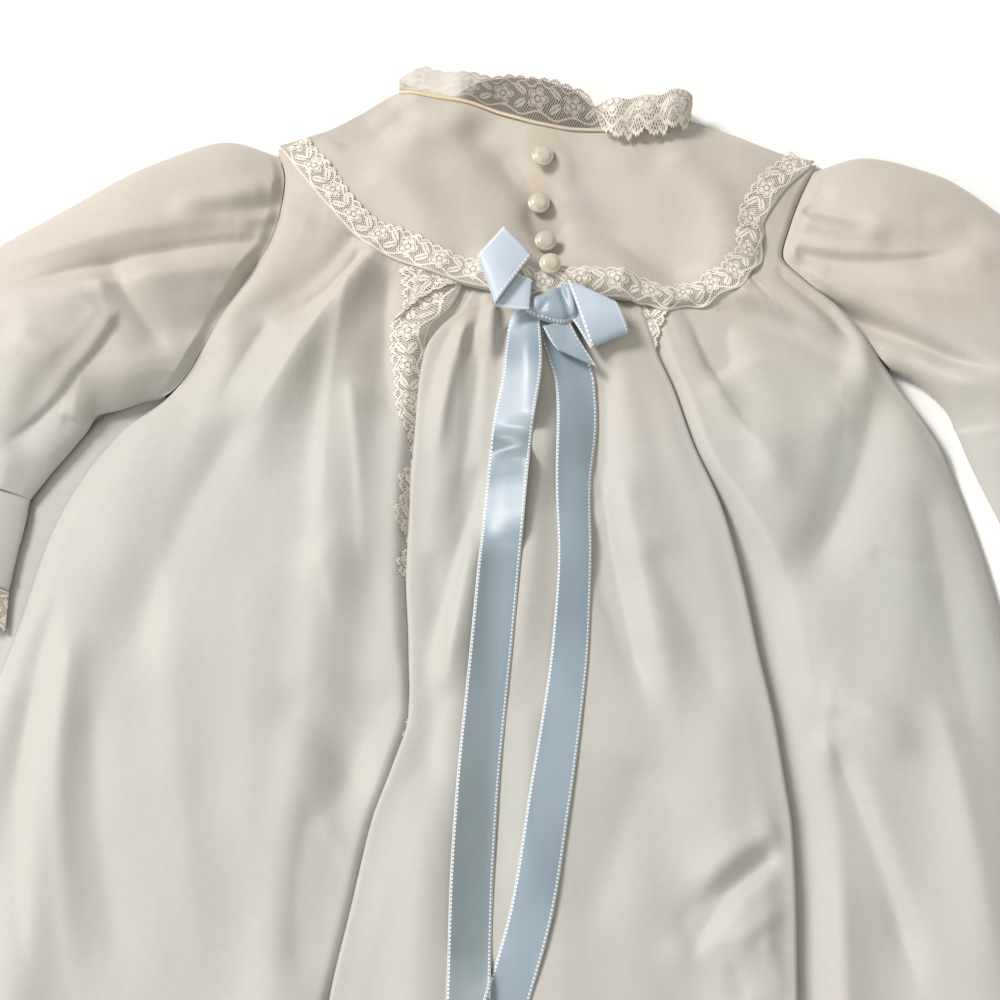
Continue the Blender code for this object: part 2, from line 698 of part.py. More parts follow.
def sleeve(name, side, sections, folds, rows=13):
    """Long puffed sleeve, a flattened tube from the armhole to the cuff."""
    keys = np.arange(len(sections["top_x"]))
    at = np.linspace(0, keys[-1], rows)
    row = {key: smooth_line(keys, column, at) for key, column in sections.items()}
    edge = "left" if side < 0 else "right"
    grid = []
    for i in range(rows):
        top = np.array([row["top_x"][i], row["top_y"][i]])
        low = np.array([row["low_x"][i], row["low_y"][i]])
        width = np.linalg.norm(low - top)
        place, rise, upper = tube_section(width, row["height"][i], 13, 6, CLOTH_WALL)
        x = top[0] + (low[0] - top[0]) * place
        y = top[1] + (low[1] - top[1]) * place
        first = {key: column[0] for key, column in sections.items()}
        line_y = first["top_y"] + (first["low_y"] - first["top_y"]) * place
        line_x = first["top_x"] + (first["low_x"] - first["top_x"]) * place
        bow = outline(edge, line_y) + side * SEAM_GAP / 2 - line_x
        x = x + bow * row["follow"][i] * (1 - place**12)
        shape = creases(folds, x, y) * upper * np.sin(np.pi * place) ** 0.5
        z = np.where(upper > 0, np.maximum(rise + shape, 3.2), rise)
        grid.append(np.stack([x, y, z], -1))
    return wall_mesh(name, np.array(grid), CLOTH_WALL, CLOTH, ring=True, on_floor=True)


def tube_between(name, first, last, heights, wall, look, rows, counts, wave=0.0):
    """Flattened straight tube between two edge lines, such as a cuff."""
    grid = []
    for k in np.linspace(0.0, 1.0, rows):
        top = first[0] + (last[0] - first[0]) * k
        low = first[1] + (last[1] - first[1]) * k
        width = np.linalg.norm(low - top)
        height = heights[0] + (heights[1] - heights[0]) * k
        place, rise, upper = tube_section(width, height, *counts, wall)
        x = top[0] + (low[0] - top[0]) * place
        y = top[1] + (low[1] - top[1]) * place
        rise = rise + upper * wave * k * np.sin(place * 5.5 * np.pi)
        grid.append(np.stack([x, y, rise], -1))
    return wall_mesh(name, np.array(grid), wall, look, ring=True, on_floor=True)


def cuff_and_lace(side_name, sections, shift):
    """Cuff and wrist lace that continue a sleeve."""
    top = np.array([sections["top_x"][-1], sections["top_y"][-1]])
    low = np.array([sections["low_x"][-1], sections["low_y"][-1]])
    axis = np.array([shift, -1.0]) / np.hypot(shift, 1.0)
    start = (top + axis * 0.4, low + axis * 0.4)
    end = (start[0] + axis * CUFF_LENGTH, start[1] + axis * CUFF_LENGTH)
    tube_between(
        "cuff_" + side_name, start, end, (9.0, 8.6), CLOTH_WALL, CLOTH, 3, (11, 4)
    )
    start = (end[0] + axis * 0.4, end[1] + axis * 0.4)
    out = (low - top) / np.linalg.norm(low - top) * 2.0
    end = (start[0] + axis * CUFF_LACE_LENGTH - out, start[1] + axis * CUFF_LACE_LENGTH + out)
    tube_between(
        "cuff_lace_" + side_name, start, end, (8.4, 8.0), LACE_WALL, TRIM, 3, (15, 4), 0.9
    )


def strip_on(name, under, x, y, wall, look, rise=0.0, floor=BACK_WALL):
    """Strip lying on what is under it."""
    z = rest(under, x, y, floor) + GAP + wall / 2 + rise
    grid = settle(np.stack([x, y, z], -1), under, wall, floor)
    return wall_mesh(name, grid, wall, look)


def robing_lace(name, side, edge, under, rows=38):
    """Lace down the skirt, along the edge of the centre panel."""
    y = np.linspace(edge["y"][0], edge["y"][-1], rows)[:, None]
    x = smooth_line(edge["y"], edge["x"], y)
    width = smooth_line(edge["y"], edge["width"], y)
    x = x - side * width * np.linspace(0.0, 1.0, 3)[None, :]
    y = np.broadcast_to(y, x.shape).copy()
    high = seam_limit(x) + TUCK - 2.0
    y = np.minimum(y, high)
    return strip_on(name, under, x, y, LACE_WALL, TRIM)


def seam_limit(x):
    """Height up the gown of the yoke seam above a place across."""
    return smooth_line(YOKE_SEAM["x"], YOKE_SEAM["y"], x)


def yoke_lace(name, under, rows=54):
    """Lace band on the yoke, its straight edge on the yoke seam."""
    fraction = np.linspace(0.0, 1.0, rows)[:, None]
    inside = LACE_WIDTH * np.linspace(0.0, 1.0, 3)[None, :] + 0.5
    x, y = seam_point(fraction + 0 * inside, inside + 0 * fraction)
    return strip_on(name, under, x, y, LACE_WALL, TRIM, floor=3.0)


def neck_lace(name, under, front=27, back=9, rows=6):
    """Ring of lace at the neck, turned down over the yoke on one side."""
    neck = {key: column[4:13] for key, column in YOKE_TOP.items()}
    t = np.linspace(0.0, 1.0, front)
    fx, fy = along(neck, t)
    across = np.linspace(0.0, 1.0, rows)
    turned = ease((t - 0.60) / 0.14) * ease((1.02 - t) / 0.05)
    fz = yoke_height(fx, fy) - CLOTH_WALL / 2
    lines = []
    for k in across:
        wave = 0.8 * np.sin(t * 9 * np.pi) * k
        up_y = fy + SEAM_GAP + NECK_LACE_WIDTH * k
        up_z = fz + 3.5 * np.sin(k * np.pi / 2) + wave
        over = np.interp(k, (0, 0.2, 0.45, 0.7, 1.0), (0, 7, 10, 3, -8))
        over_z = np.interp(k, (0, 0.2, 0.45, 0.7, 1.0), (0, 5, 8, 7.5, 3.5))
        y = up_y + (fy + SEAM_GAP + over - up_y) * turned
        z = up_z + (fz + over_z - up_z) * turned
        lines.append(np.stack([fx, y, z], -1))
    front_part = np.array(lines)
    s = np.linspace(1.0, 0.0, back + 2)[1:-1]
    bx = fx[0] + (fx[-1] - fx[0]) * s
    by = smooth_line(BACK_NECK["x"], BACK_NECK["y"], bx) + SEAM_GAP + LACE_WALL / 2
    lines = [
        np.stack([bx, by + (NECK_LACE_WIDTH - 3) * k, np.full(back, LACE_WALL / 2)], -1)
        for k in across
    ]
    grid = np.concatenate([front_part, np.array(lines)], axis=1)
    grid[:, :front] = settle(grid[:, :front], under, LACE_WALL, 0.0, lowest_row=1)
    grid[0, :front, 1] += 0.9
    return wall_mesh(name, grid, LACE_WALL, TRIM, ring=True, on_floor=True)


def dome(name, x, y, base, half_x, half_y, height, look, around=14):
    """Low round form with a flat underside."""
    rings = ((0.80, 0.0), (1.0, 0.3), (0.94, 0.68), (0.62, 0.93))
    angle = np.arange(around) * 2 * np.pi / around
    points = []
    for size, lift in rings:
        px = x + half_x * size * np.cos(angle)
        py = y + half_y * size * np.sin(angle)
        points.append(np.stack([px, py, np.full(around, base + height * lift)], -1))
    points = np.concatenate(points + [np.array([[x, y, base], [x, y, base + height]])])
    low, high = len(points) - 2, len(points) - 1
    faces = []
    for i in range(around):
        j = (i + 1) % around
        for ring in range(len(rings) - 1):
            a, b = ring * around + i, ring * around + j
            faces += [(a, b, b + around), (a, b + around, a + around)]
        last = (len(rings) - 1) * around
        faces += [(low, j, i), (high, last + i, last + j)]
    return mesh_object(name, points, faces, look)


def ribbon_wing(name, rows, under):
    """Short loop of the bow: an under layer, a fold and a top layer."""
    keys = np.arange(len(rows["ax"]))
    at = np.array([0, 0.5, 1, 1.6, 2, 3, 4, 4.6, 5, 5.5, 6])
    row = {key: smooth_line(keys, column, at)[:, None] for key, column in rows.items()}
    t = np.linspace(0.0, 1.0, 3)[None, :]
    x = row["ax"] + (row["bx"] - row["ax"]) * t
    y = row["ay"] + (row["by"] - row["ay"]) * t
    base = rest(under, x, y).max()
    z = base + GAP + RIBBON_WALL / 2 + row["rise"] + 0 * t
    return wall_mesh(name, np.stack([x, y, z], -1), RIBBON_WALL, SATIN)


def tail(name, line, under, rows=36):
    """Long ribbon end lying down the centre panel."""
    y = np.linspace(line["y"][0], line["y"][-1], rows)[:, None]
    x = smooth_line(line["y"], line["x"], y)
    half = smooth_line(line["y"], line["half"], y)
    rise = smooth_line(line["y"], line["rise"], y)
    slope = np.gradient(x[:, 0], y[:, 0])[:, None]
    across = np.linspace(-1.0, 1.0, 3)[None, :] * half
    px = x + across / np.hypot(1.0, slope)
    py = y - across * slope / np.hypot(1.0, slope)
    return strip_on(name, under, px, py, RIBBON_WALL, SATIN, rise)


def main():
    for piece in list(bpy.data.objects):
        bpy.data.objects.remove(piece, do_unlink=True)
    back_skirt("back_skirt")
    back_yoke("back_yoke")
    left = tree_of(side_panel("skirt_front_left", -1))
    right = tree_of(side_panel("skirt_front_right", 1))
    left_lace = tree_of(robing_lace("robing_lace_left", -1, ROBING_LEFT, [left]))
    right_lace = tree_of(robing_lace("robing_lace_right", 1, ROBING_RIGHT, [right]))
    skirt = [left, right, left_lace, right_lace]
    centre = tree_of(centre_panel("skirt_front_center", skirt))
    skirt.append(centre)
    yoke = tree_of(yoke_front("yoke_front", skirt))
    band = tree_of(yoke_lace("yoke_lace", [yoke] + skirt))
    neck_lace("neck_lace", [yoke])
    for side_name, side, sections, folds, shift in (
        ("left", -1, LEFT_SLEEVE, LEFT_SLEEVE_FOLDS, -0.13),
        ("right", 1, RIGHT_SLEEVE, RIGHT_SLEEVE_FOLDS, 0.18),
    ):
        sleeve("sleeve_" + side_name, side, sections, folds)
        cuff_and_lace(side_name, sections, shift)
    bed = skirt + [yoke, band]
    first = tree_of(tail("ribbon_tail_left", LEFT_TAIL, bed))
    second = tree_of(tail("ribbon_tail_right", RIGHT_TAIL, bed + [first]))
    bed += [first, second]
    bed.append(tree_of(ribbon_wing("bow_wing_left", LEFT_WING, bed)))
    bed.append(tree_of(ribbon_wing("bow_wing_right", RIGHT_WING, bed)))
    size = np.linspace(0.0, 0.98, 9)[None, :]
    angle = np.linspace(0.0, 2 * np.pi, 24)[:, None]
    ax = KNOT["x"] + KNOT["half_x"] * size * np.cos(angle)
    ay = KNOT["y"] + KNOT["half_y"] * size * np.sin(angle)
    base = rest(bed, ax, ay).max() + GAP
    dome(
        "bow_knot", KNOT["x"], KNOT["y"], base, KNOT["half_x"], KNOT["half_y"],
        KNOT["height"], SATIN,
    )
    for i in range(4):
        bx, by = BUTTONS["x"][i], BUTTONS["y"][i]
        spread = np.linspace(-0.4, 0.4, 5) * BUTTON_DIAMETER
        base = rest([yoke, band], bx + spread[None, :], by + spread[:, None]).max()
        half = BUTTON_DIAMETER / 2
        dome(f"button_{i + 1}", bx, by, base + GAP, half, half, BUTTON_HEIGHT, PEARL)


main()
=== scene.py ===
"""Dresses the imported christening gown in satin, lace, ribbon and pearl.

Lengths are millimetres in the gown's drawing, X across, Y from hem to neck and Z up,
until row_points() moves them into the frame, in metres.
"""

import logging
from dataclasses import dataclass
from enum import Enum

import bmesh
import bpy
import numpy as np
from mathutils import Matrix, Vector, noise
from mathutils.bvhtree import BVHTree

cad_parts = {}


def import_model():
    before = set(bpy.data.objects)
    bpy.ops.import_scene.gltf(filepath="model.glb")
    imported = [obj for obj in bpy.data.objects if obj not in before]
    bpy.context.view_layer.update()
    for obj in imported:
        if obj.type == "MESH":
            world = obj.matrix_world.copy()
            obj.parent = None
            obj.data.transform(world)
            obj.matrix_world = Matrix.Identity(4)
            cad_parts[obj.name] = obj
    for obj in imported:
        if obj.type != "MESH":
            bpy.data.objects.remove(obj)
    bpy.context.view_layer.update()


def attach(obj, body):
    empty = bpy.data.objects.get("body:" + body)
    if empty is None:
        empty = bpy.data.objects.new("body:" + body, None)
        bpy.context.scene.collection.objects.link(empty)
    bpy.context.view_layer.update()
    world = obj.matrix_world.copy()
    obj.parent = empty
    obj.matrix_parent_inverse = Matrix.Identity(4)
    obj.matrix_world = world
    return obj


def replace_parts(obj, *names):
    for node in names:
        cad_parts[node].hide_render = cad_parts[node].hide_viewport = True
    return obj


LOG = logging.getLogger("gown")
Grid = np.ndarray
Table = dict[str, np.ndarray]
Colour = tuple[float, float, float]
Place = tuple[float, float, float]
Plug = bpy.types.NodeSocket

MM = 0.001
ORIGIN = (1.0, 15.9, 0.0)
HEM_Y = -348.0
TUCK = 5.0
MARGIN_UNDER = 23.0
MARGIN_TOP = 3.5
SHOULDER_TOP = 4.4
FOLD_DEPTH = 1.05
CRISP_DEPTH = 1.1
FOLD_RADIUS = 2.3
FOLD_UNDER = 9.0
CENTRE_LOW = 6.0
BACK_TOP = 1.2
LACE_WALL = 0.22
BINDING_WALL = 0.2
ROBING_WIDTH = 14.0
WINDOW_WAY = (-0.7, 0.7)
SHADE_SHIFT = 0.6


def table(names: str, *rows: tuple[float, ...]) -> Table:
    """Columns of a table by their names.

    Args:
        names: the columns' names, with spaces between them.
        rows: the table's rows, which may leave out last values that are 0.

    Returns:
        One array for each column.
    """
    titles = names.split()
    values = np.array([row + (0.0,) * (len(titles) - len(row)) for row in rows], float)
    return dict(zip(titles, values.T))


@dataclass(frozen=True)
class View:
    """Camera of the photograph, in the drawing's millimetres and in degrees."""

    target: Place = (-10.5, 180.0, 8.0)
    elevation: float = 68.0
    roll: float = 1.6
    distance: float = 1100.0
    half_view: float = 0.17727
    middle_pixel: float = 500.0

    def axes(self) -> tuple[Vector, Vector, Vector]:
        """Directions across the picture, up it, and back to the camera.

        Returns:
            The three directions.
        """
        tilt, roll = np.radians(self.elevation), np.radians(self.roll)
        back = Vector((0.0, -np.cos(tilt), np.sin(tilt)))
        right = Vector((1.0, 0.0, 0.0))
        up = back.cross(right)
        side = right * np.cos(roll) + up * np.sin(roll)
        return side, up * np.cos(roll) - right * np.sin(roll), back

    def spot(self, across: Grid, down: Grid, height: float) -> Grid:
        """Places in the drawing that pixels show.

        Args:
            across: pixels from the picture's left edge.
            down: pixels from its top edge.
            height: height of what shows there.

        Returns:
            X and Y of each place.
        """
        side, top, back = (np.array(way) for way in self.axes())
        sight_x = (across / self.middle_pixel - 1) * self.half_view
        sight_y = (1 - down / self.middle_pixel) * self.half_view
        sight = sight_x[..., None] * side + sight_y[..., None] * top - back
        camera = np.array(self.target) + back * self.distance
        reach = (height - camera[2]) / sight[..., 2:]
        return (camera + sight * reach)[..., :2]


PHOTO = View()
FOLD_NAMES = "x0 y0 x1 y1 x2 y2 height0 height1 width0 width1 lean"


def seen_folds(height: float, *rows: tuple[float, ...]) -> Table:
    """Fine folds read off the photograph, as folds of the drawing.

    Args:
        height: height of the cloth there.
        rows: one fold a row, as FOLD_NAMES says, with its three points in pixels on the
            line where its shade shows.

    Returns:
        The folds in whole millimetres, moved away from the window by a share of their
        width, because a fold's shade shows beside its crest.
    """
    folds = table(FOLD_NAMES, *rows)
    x, y = (np.array([folds[f"{axis}{k}"] for k in range(3)]) for axis in "xy")
    spots = np.round(PHOTO.spot(x, y, height), 1)
    way = spots[2] - spots[0]
    way = way / np.hypot(way[:, 0], way[:, 1])[:, None]
    off = np.stack([-way[:, 1], way[:, 0]], -1)
    facing = off @ np.array(WINDOW_WAY)
    width = (folds["width0"] + folds["width1"]) / 2
    shift = -np.sign(facing) * SHADE_SHIFT * width * np.sqrt(np.abs(facing))
    spots = np.round(spots + off * shift[:, None])
    for k in range(3):
        folds[f"x{k}"], folds[f"y{k}"] = spots[k].T
    return folds


OUTLINE = table(
    "y left right edge crown",
    (334, -106, 116, 4.6, 9.4), (318, -102, 109, 6.0, 9.6), (303, -103, 104, 7.4, 9.8),
    (290, -106, 101, 8.0, 10.1), (279, -111, 110, 8.4, 10.4), (268, -117, 123, 8.4, 10.6),
    (256, -124, 133, 8.0, 10.8), (243, -130, 141, 7.0, 11.0), (231, -136, 149, 5.6, 11.0),
    (220, -144, 157, 4.8, 11.0), (206, -161, 165, 4.0, 11.0), (190, -173, 171, 3.7, 11.0),
    (160, -186, 180, 3.6, 11.0), (130, -193, 187, 3.6, 11.0), (46, -215, 208, 3.6, 10.6),
    (-60, -232, 228, 3.6, 10.0), (-200, -248, 247, 3.6, 9.4), (-348, -260, 262, 3.6, 8.4),
)
YOKE_SEAM = table(
    "x y",
    (-103, 334), (-92, 318), (-80, 303), (-66, 289), (-46, 279), (-22, 271), (5, 266), (30, 267),
    (55, 267), (74, 272), (87, 284), (92, 303), (101, 320), (113, 334),
)
YOKE_TOP = table(
    "x y",
    (-105, 336), (-97, 339), (-85, 344), (-71, 353), (-57, 361), (-44, 358), (-27, 355), (-11, 350),
    (3, 346), (16, 344), (32, 344), (46, 346), (64, 352), (80, 347), (94, 341), (107, 337),
    (115, 336),
)
NECK_LINE = {name: column[4:13] for name, column in YOKE_TOP.items()}
BACK_NECK = table("x y", (-57, 361), (-30, 355), (3, 352), (36, 352), (64, 352))
CENTRE = table(
    "y left right",
    (272, -24, 44), (262, -28, 46), (254, -36, 48), (244, -42, 51), (230, -44, 57), (206, -45, 65),
    (180, -46, 76), (150, -46, 84), (120, -44, 90), (92, -43, 96), (72, -48, 99), (50, -55, 102),
    (18, -61, 103), (-19, -68, 103), (-100, -78, 104), (-200, -88, 108), (-348, -98, 114),
)
ROBING_LEFT = table(
    "y x width",
    (279, -54, 27), (268, -53, 24), (256, -53, 18), (244, -52, 14),
    (216, -50, 14), (197, -47, 14), (182, -51, 14), (168, -50, 14),
    (153, -48, 14), (140, -45, 14), (110, -41, 14), (60, -50, 14), (-20, -65, 14), (-346, -95, 14),
)
ROBING_RIGHT = table(
    "y x width",
    (270, 56, 14), (264, 55, 14), (254, 52, 14), (240, 51, 14),
    (180, 74, 14), (90, 94, 14), (0, 101, 14), (-346, 111, 14),
)
SIDE_FOLDS = table(
    FOLD_NAMES,
    (-72, 293, -85, 274, -112, 255, -3, -2, 6, 9, 0.2),
    (-68, 286, -86, 257, -107, 224, 3, 2.5, 7, 11),
    (-60, 282, -76, 235, -92, 190, -2, -1.5, 7, 12),
    (-73, 270, -78, 210, -77, 150, 2.5, 2.5, 7, 10, 0.4),
    (-77, 150, -84, 20, -112, -348, 2.5, 5, 11, 20, 0.2),
    (-60, 240, -62, 120, -74, 0, -2, -2, 8, 12),
    (-104, 300, -122, 240, -150, 150, 2, 2, 8, 14),
    (-128, 235, -140, 190, -150, 120, -2, -1.5, 8, 13),
    (-84, 91, -70, 78, -62, 66, -2.5, -2, 10, 8),
    (-172, 110, -178, 30, -200, -348, 2.5, 4.5, 8, 18),
    (-187, 90, -198, 0, -224, -348, -1.5, -3, 6, 13),
    (-140, 60, -152, -120, -170, -348, 1, -3, 14, 17),
    (-120, 60, -130, -120, -142, -348, -0.5, 4.5, 14, 18),
    (-205, 40, -222, -120, -246, -348, 1, 3, 7, 12),
    (67, 263, 85, 224, 91, 206, -2.8, -2.5, 7, 8),
    (77, 228, 89, 211, 97, 194, 2.5, 2.5, 6, 9),
    (81, 273, 107, 267, 131, 255, 3, 2.5, 6, 8),
    (80, 262, 104, 255, 124, 244, -2.5, -2.5, 6, 7),
    (133, 246, 131, 235, 124, 220, 2.5, 2.5, 6, 8),
    (126, 222, 122, 191, 102, 150, -2.8, -2.2, 9, 13, 0.2),
    (150, 215, 150, 150, 140, 100, 1.5, 2, 10, 14),
    (85, 156, 102, 124, 118, 98, -2.5, -2.5, 10, 10),
    (112, 85, 126, 39, 144, -30, -2.5, -2, 10, 15),
    (118, 106, 131, 96, 144, 86, 2.2, 1.6, 8, 9),
    (112, 20, 118, -100, 134, -348, 1, 4.5, 11, 17),
    (144, -30, 150, -150, 158, -348, -2, -3, 14, 17),
    (170, 130, 172, 0, 190, -348, 1.5, 5, 14, 20),
    (196, 60, 205, -100, 220, -348, -1, -3, 9, 14),
    (205, 40, 224, -120, 246, -348, 1, 3, 7, 12),
)
CENTRE_FOLDS = table(
    FOLD_NAMES,
    (-17, 268, -18, 245, -27, 184, 2.2, 1.8, 5, 9),
    (-8, 266, -12, 235, -18, 180, -2.2, -1, 5, 9),
    (1, 266, -1, 230, -5, 140, 1.8, 1, 6, 13),
    (17, 262, 24, 225, 32, 150, -2.2, -1.2, 6, 12),
    (30, 262, 40, 215, 56, 130, 2, 2, 6, 13),
    (-36, 150, -37, 115, -34, 60, -1.8, -1.5, 6, 8),
    (-22, 152, -28, 110, -44, -348, 2.4, 4, 7, 16),
    (40, 140, 60, 20, 62, -348, -1, -3, 10, 15),
    (-8, 60, -14, -120, -16, -348, -0.5, -3, 12, 14),
    (12, 60, 16, -120, 22, -348, 0.5, 4, 14, 17),
    (60, 3, 78, 15, 93, 30, 1.8, 1.2, 7, 7),
    (76, 100, 84, -60, 92, -348, 1, 3.5, 8, 14),
)
YOKE_FOLDS = table(
    FOLD_NAMES,
    (-19, 342, -4, 322, 4, 300, -1.4, -1.6, 8, 8),
    (6, 304, 36, 296, 56, 281, -1.6, -1.8, 8, 9),
    (-80, 346, -70, 343, -56, 340, -1.2, -0.8, 6, 6),
    (-16, 278, 8, 274, 34, 274, 1.8, 1.8, 7, 7),
    (-60, 318, -42, 302, -22, 294, 1.4, 0.8, 10, 10),
    (60, 330, 74, 312, 78, 292, 1.4, 1, 9, 10),
)
SLEEVE_NAMES = "top_x top_y low_x low_y follow height"
LEFT_SLEEVE = table(
    SLEEVE_NAMES,
    (-107, 331, -145.5, 221, 1, 12), (-128, 337, -153, 219, 0.7, 17),
    (-157, 326, -163, 215, 0.4, 21), (-192, 303, -170, 213, 0.15, 22),
    (-225, 278, -174, 206, 0, 20), (-245, 246, -180, 197, 0, 16), (-251, 214, -187, 187, 0, 12),
    (-243, 186, -194, 176, 0, 9),
)
RIGHT_SLEEVE = table(
    SLEEVE_NAMES,
    (117, 331, 144.5, 242, 1, 12), (138, 338, 153, 238, 0.7, 17), (166, 331, 160, 232, 0.4, 21),
    (198, 308, 166, 224, 0.15, 22), (228, 281, 170, 214, 0, 20), (245, 251, 174, 203, 0, 16),
    (248, 219, 179, 191, 0, 12), (235, 188, 185, 178, 0, 9),
)
LEFT_SLEEVE_FOLDS = table(
    FOLD_NAMES,
    (-110, 298, -143, 286, -213, 268, -2, -5, 7, 10),
    (-116, 280, -146, 270, -200, 254, 2, 3, 7, 10),
    (-168, 272, -156, 258, -148, 243, -2.2, -2, 7, 7),
    (-150, 228, -172, 224, -200, 236, 3, 4, 8, 8),
    (-171, 252, -187, 226, -200, 200, -3, -3.5, 7, 7),
    (-106, 316, -122, 307, -140, 300, 1.8, 1.6, 6, 7),
    (-125, 255, -140, 250, -160, 246, -1.8, -1.2, 6, 8),
    (-212, 240, -214, 214, -216, 182, -1.8, -1.6, 8, 7),
    (-228, 236, -230, 212, -230, 186, 1.4, 1.2, 7, 6),
    (-196, 205, -202, 194, -204, 182, 1.2, 1.2, 7, 6),
    (-107, 290, -124, 284, -136, 281, 1.4, 1, 5, 7),
)
RIGHT_SLEEVE_FOLDS = table(
    FOLD_NAMES,
    (108, 316, 136, 308, 156, 305, -2.2, -2, 6, 7),
    (104, 298, 141, 291, 174, 297, -2.5, -3, 6, 8),
    (106, 283, 138, 273, 188, 247, -2.5, -3.5, 6, 8),
    (106, 290, 140, 283, 176, 284, 1.8, 2.2, 6, 8),
    (134, 262, 160, 250, 186, 236, -2, -2.5, 7, 7),
    (146, 246, 166, 237, 196, 236, 3, 4, 8, 8),
    (204, 244, 207, 214, 209, 184, -1.8, -1.6, 8, 7),
    (222, 240, 224, 214, 223, 186, 1.4, 1.2, 7, 6),
    (192, 206, 196, 196, 198, 184, 1.2, 1.2, 7, 6),
    (106, 306, 122, 300, 136, 299, 1.4, 1, 5, 7),
)
TAIL_NAMES = "y x half rise"
LEFT_TAIL = table(
    TAIL_NAMES,
    (264, 0, 5, 0.6), (252, -3, 6.5, 0.3), (238, -3, 7.5, 0), (212, -6, 8, 0), (187, -8, 8, 0),
    (153, -10, 8, 0), (121, -12, 8, 0), (58, -16, 8, 0), (20, -17, 8, 0), (-17, -17, 8, 0),
    (-52, -15, 8, 0), (-92, -9, 8, 0),
)
RIGHT_TAIL = table(
    TAIL_NAMES,
    (261, 8, 4.5, 0.6), (250, 10, 6, 0.6), (242, 14, 7.5, 0.4), (230, 18, 8, 0), (213, 19, 8, 0),
    (188, 18, 7, 0), (154, 19, 6.5, 0), (122, 18, 7, 0), (90, 15, 7.5, 0), (58, 11, 8, 0),
    (20, 6, 8, 0), (-17, -3, 8, 0), (-52, -14, 8, 0), (-98, -30, 8, 0),
)
WING_NAMES = "ax ay bx by rise crown"
LEFT_WING = table(
    WING_NAMES,
    (0, 270, -1, 257, 0.4, 0.3), (-8, 274, -6, 257, 0.2, 0.6), (-17, 278, -11, 257.5, 0.2, 0.6),
    (-21.4, 279.2, -14, 258, 0.8, 0.2), (-22, 279.4, -14.4, 258.6, 1.8, 0),
    (-21.2, 280.2, -13.4, 260, 2.8, 0.2), (-17, 285.4, -8, 268.2, 3.6, 1),
    (-12, 292, -0.5, 279.6, 3.4, 0.8),
)
RIGHT_WING = table(
    WING_NAMES,
    (10, 263, 20, 268, 0.4, 0.3), (17, 254, 28, 261, 0.2, 0.6), (22, 245.5, 35, 252.5, 0.2, 0.6),
    (23.6, 242.6, 37.8, 249.6, 0.8, 0.2), (23.8, 242.4, 38.4, 250, 1.8, 0),
    (23.2, 243.8, 38, 251.4, 2.8, 0.2), (18.4, 258, 36, 256.6, 3.6, 1),
    (13.8, 271.2, 33.8, 261.6, 3.4, 0.8),
)
TWIST = table(
    WING_NAMES,
    (4.6, 252, 15, 255, 2.6, 0.5), (7, 247, 19, 247, 2.6, 0.8), (9.6, 243.2, 24, 239, 2.2, 0.4),
    (10.8, 242.2, 26, 235.6, 1.4, 0), (11, 243, 25.6, 236.8, 0.5, 0),
)
BUTTONS = table("x y", (3, 330), (2, 311), (5, 292), (7, 277.5))
# Painted shadows round the buttons: where each lies on the yoke, in millimetres.
BUTTON_SHADOWS = ((2.0, 321.0), (0.5, 303.5), (0.0, 289.5), (4.0, 277.5))
SIDE_FINE = seen_folds(
    14,
    (360, 232, 338, 268, 262, 310, -3.36, -2.52, 4, 6, 0.35),
    (372, 240, 322, 300, 244, 420, 6.43, 4.16, 6, 9, 0.55),
    (384, 262, 376, 340, 392, 440, -2.59, -1.94, 5, 8),
    (300, 330, 262, 400, 222, 470, 1.46, 1.94, 8, 12),
    (232, 400, 150, 540, 112, 680, -3.4, -4.16, 10, 14),
    (340, 372, 352, 470, 356, 580, 2.59, 1.94, 7, 9, 0.5),
    (376, 670, 338, 745, 300, 830, -2.4, -2.4, 12, 12),
    (306, 790, 288, 870, 292, 1010, -1.94, -2.27, 7, 9),
    (322, 812, 340, 846, 372, 872, 0.82, 0.65, 2.6, 2.6),
    (50, 580, 22, 700, 24, 1010, -2.44, -2.75, 4.4, 5.4, -0.3),
    (66, 620, 50, 770, 80, 1030, 1.94, 1.94, 5, 7, 0.2),
    (84, 680, 86, 800, 124, 1010, -1.52, -1.34, 7, 9),
    (240, 540, 226, 720, 232, 930, 1.94, 2.11, 16, 18),
    (150, 480, 158, 700, 200, 1010, 1.3, 2.11, 10, 12),
    (262, 310, 232, 360, 205, 410, -2.11, -1.46, 5, 7, 0.3),
    (300, 200, 278, 250, 240, 300, 1.46, 1.13, 7, 9),
    (698, 306, 718, 372, 762, 446, -5.29, -4.16, 4, 6, 0.3),
    (714, 356, 746, 428, 784, 480, 3.96, 2.88, 7, 9, 0.4),
    (732, 284, 800, 308, 862, 338, 2.4, 2.16, 5, 6, 0.3),
    (780, 256, 836, 318, 862, 350, -3.56, -4.54, 3.8, 4.6),
    (748, 276, 776, 296, 812, 332, -1.68, -1.32, 3.8, 5),
    (866, 372, 846, 466, 784, 580, -1.6, -5.2, 7, 11, 0.2),
    (868, 546, 902, 552, 950, 552, -0.84, -0.72, 2.6, 2.6),
    (826, 738, 872, 850, 922, 1010, -4.54, -3.58, 4.6, 6, -0.2),
    (820, 694, 880, 714, 922, 746, 2.64, 1.68, 6, 7, -0.3),
    (806, 722, 852, 800, 900, 940, 2.44, 2.27, 6, 8),
    (912, 470, 940, 600, 966, 770, -2.11, -2.59, 8, 10),
    (925, 690, 960, 820, 990, 1010, 2.59, 2.44, 7, 10),
)
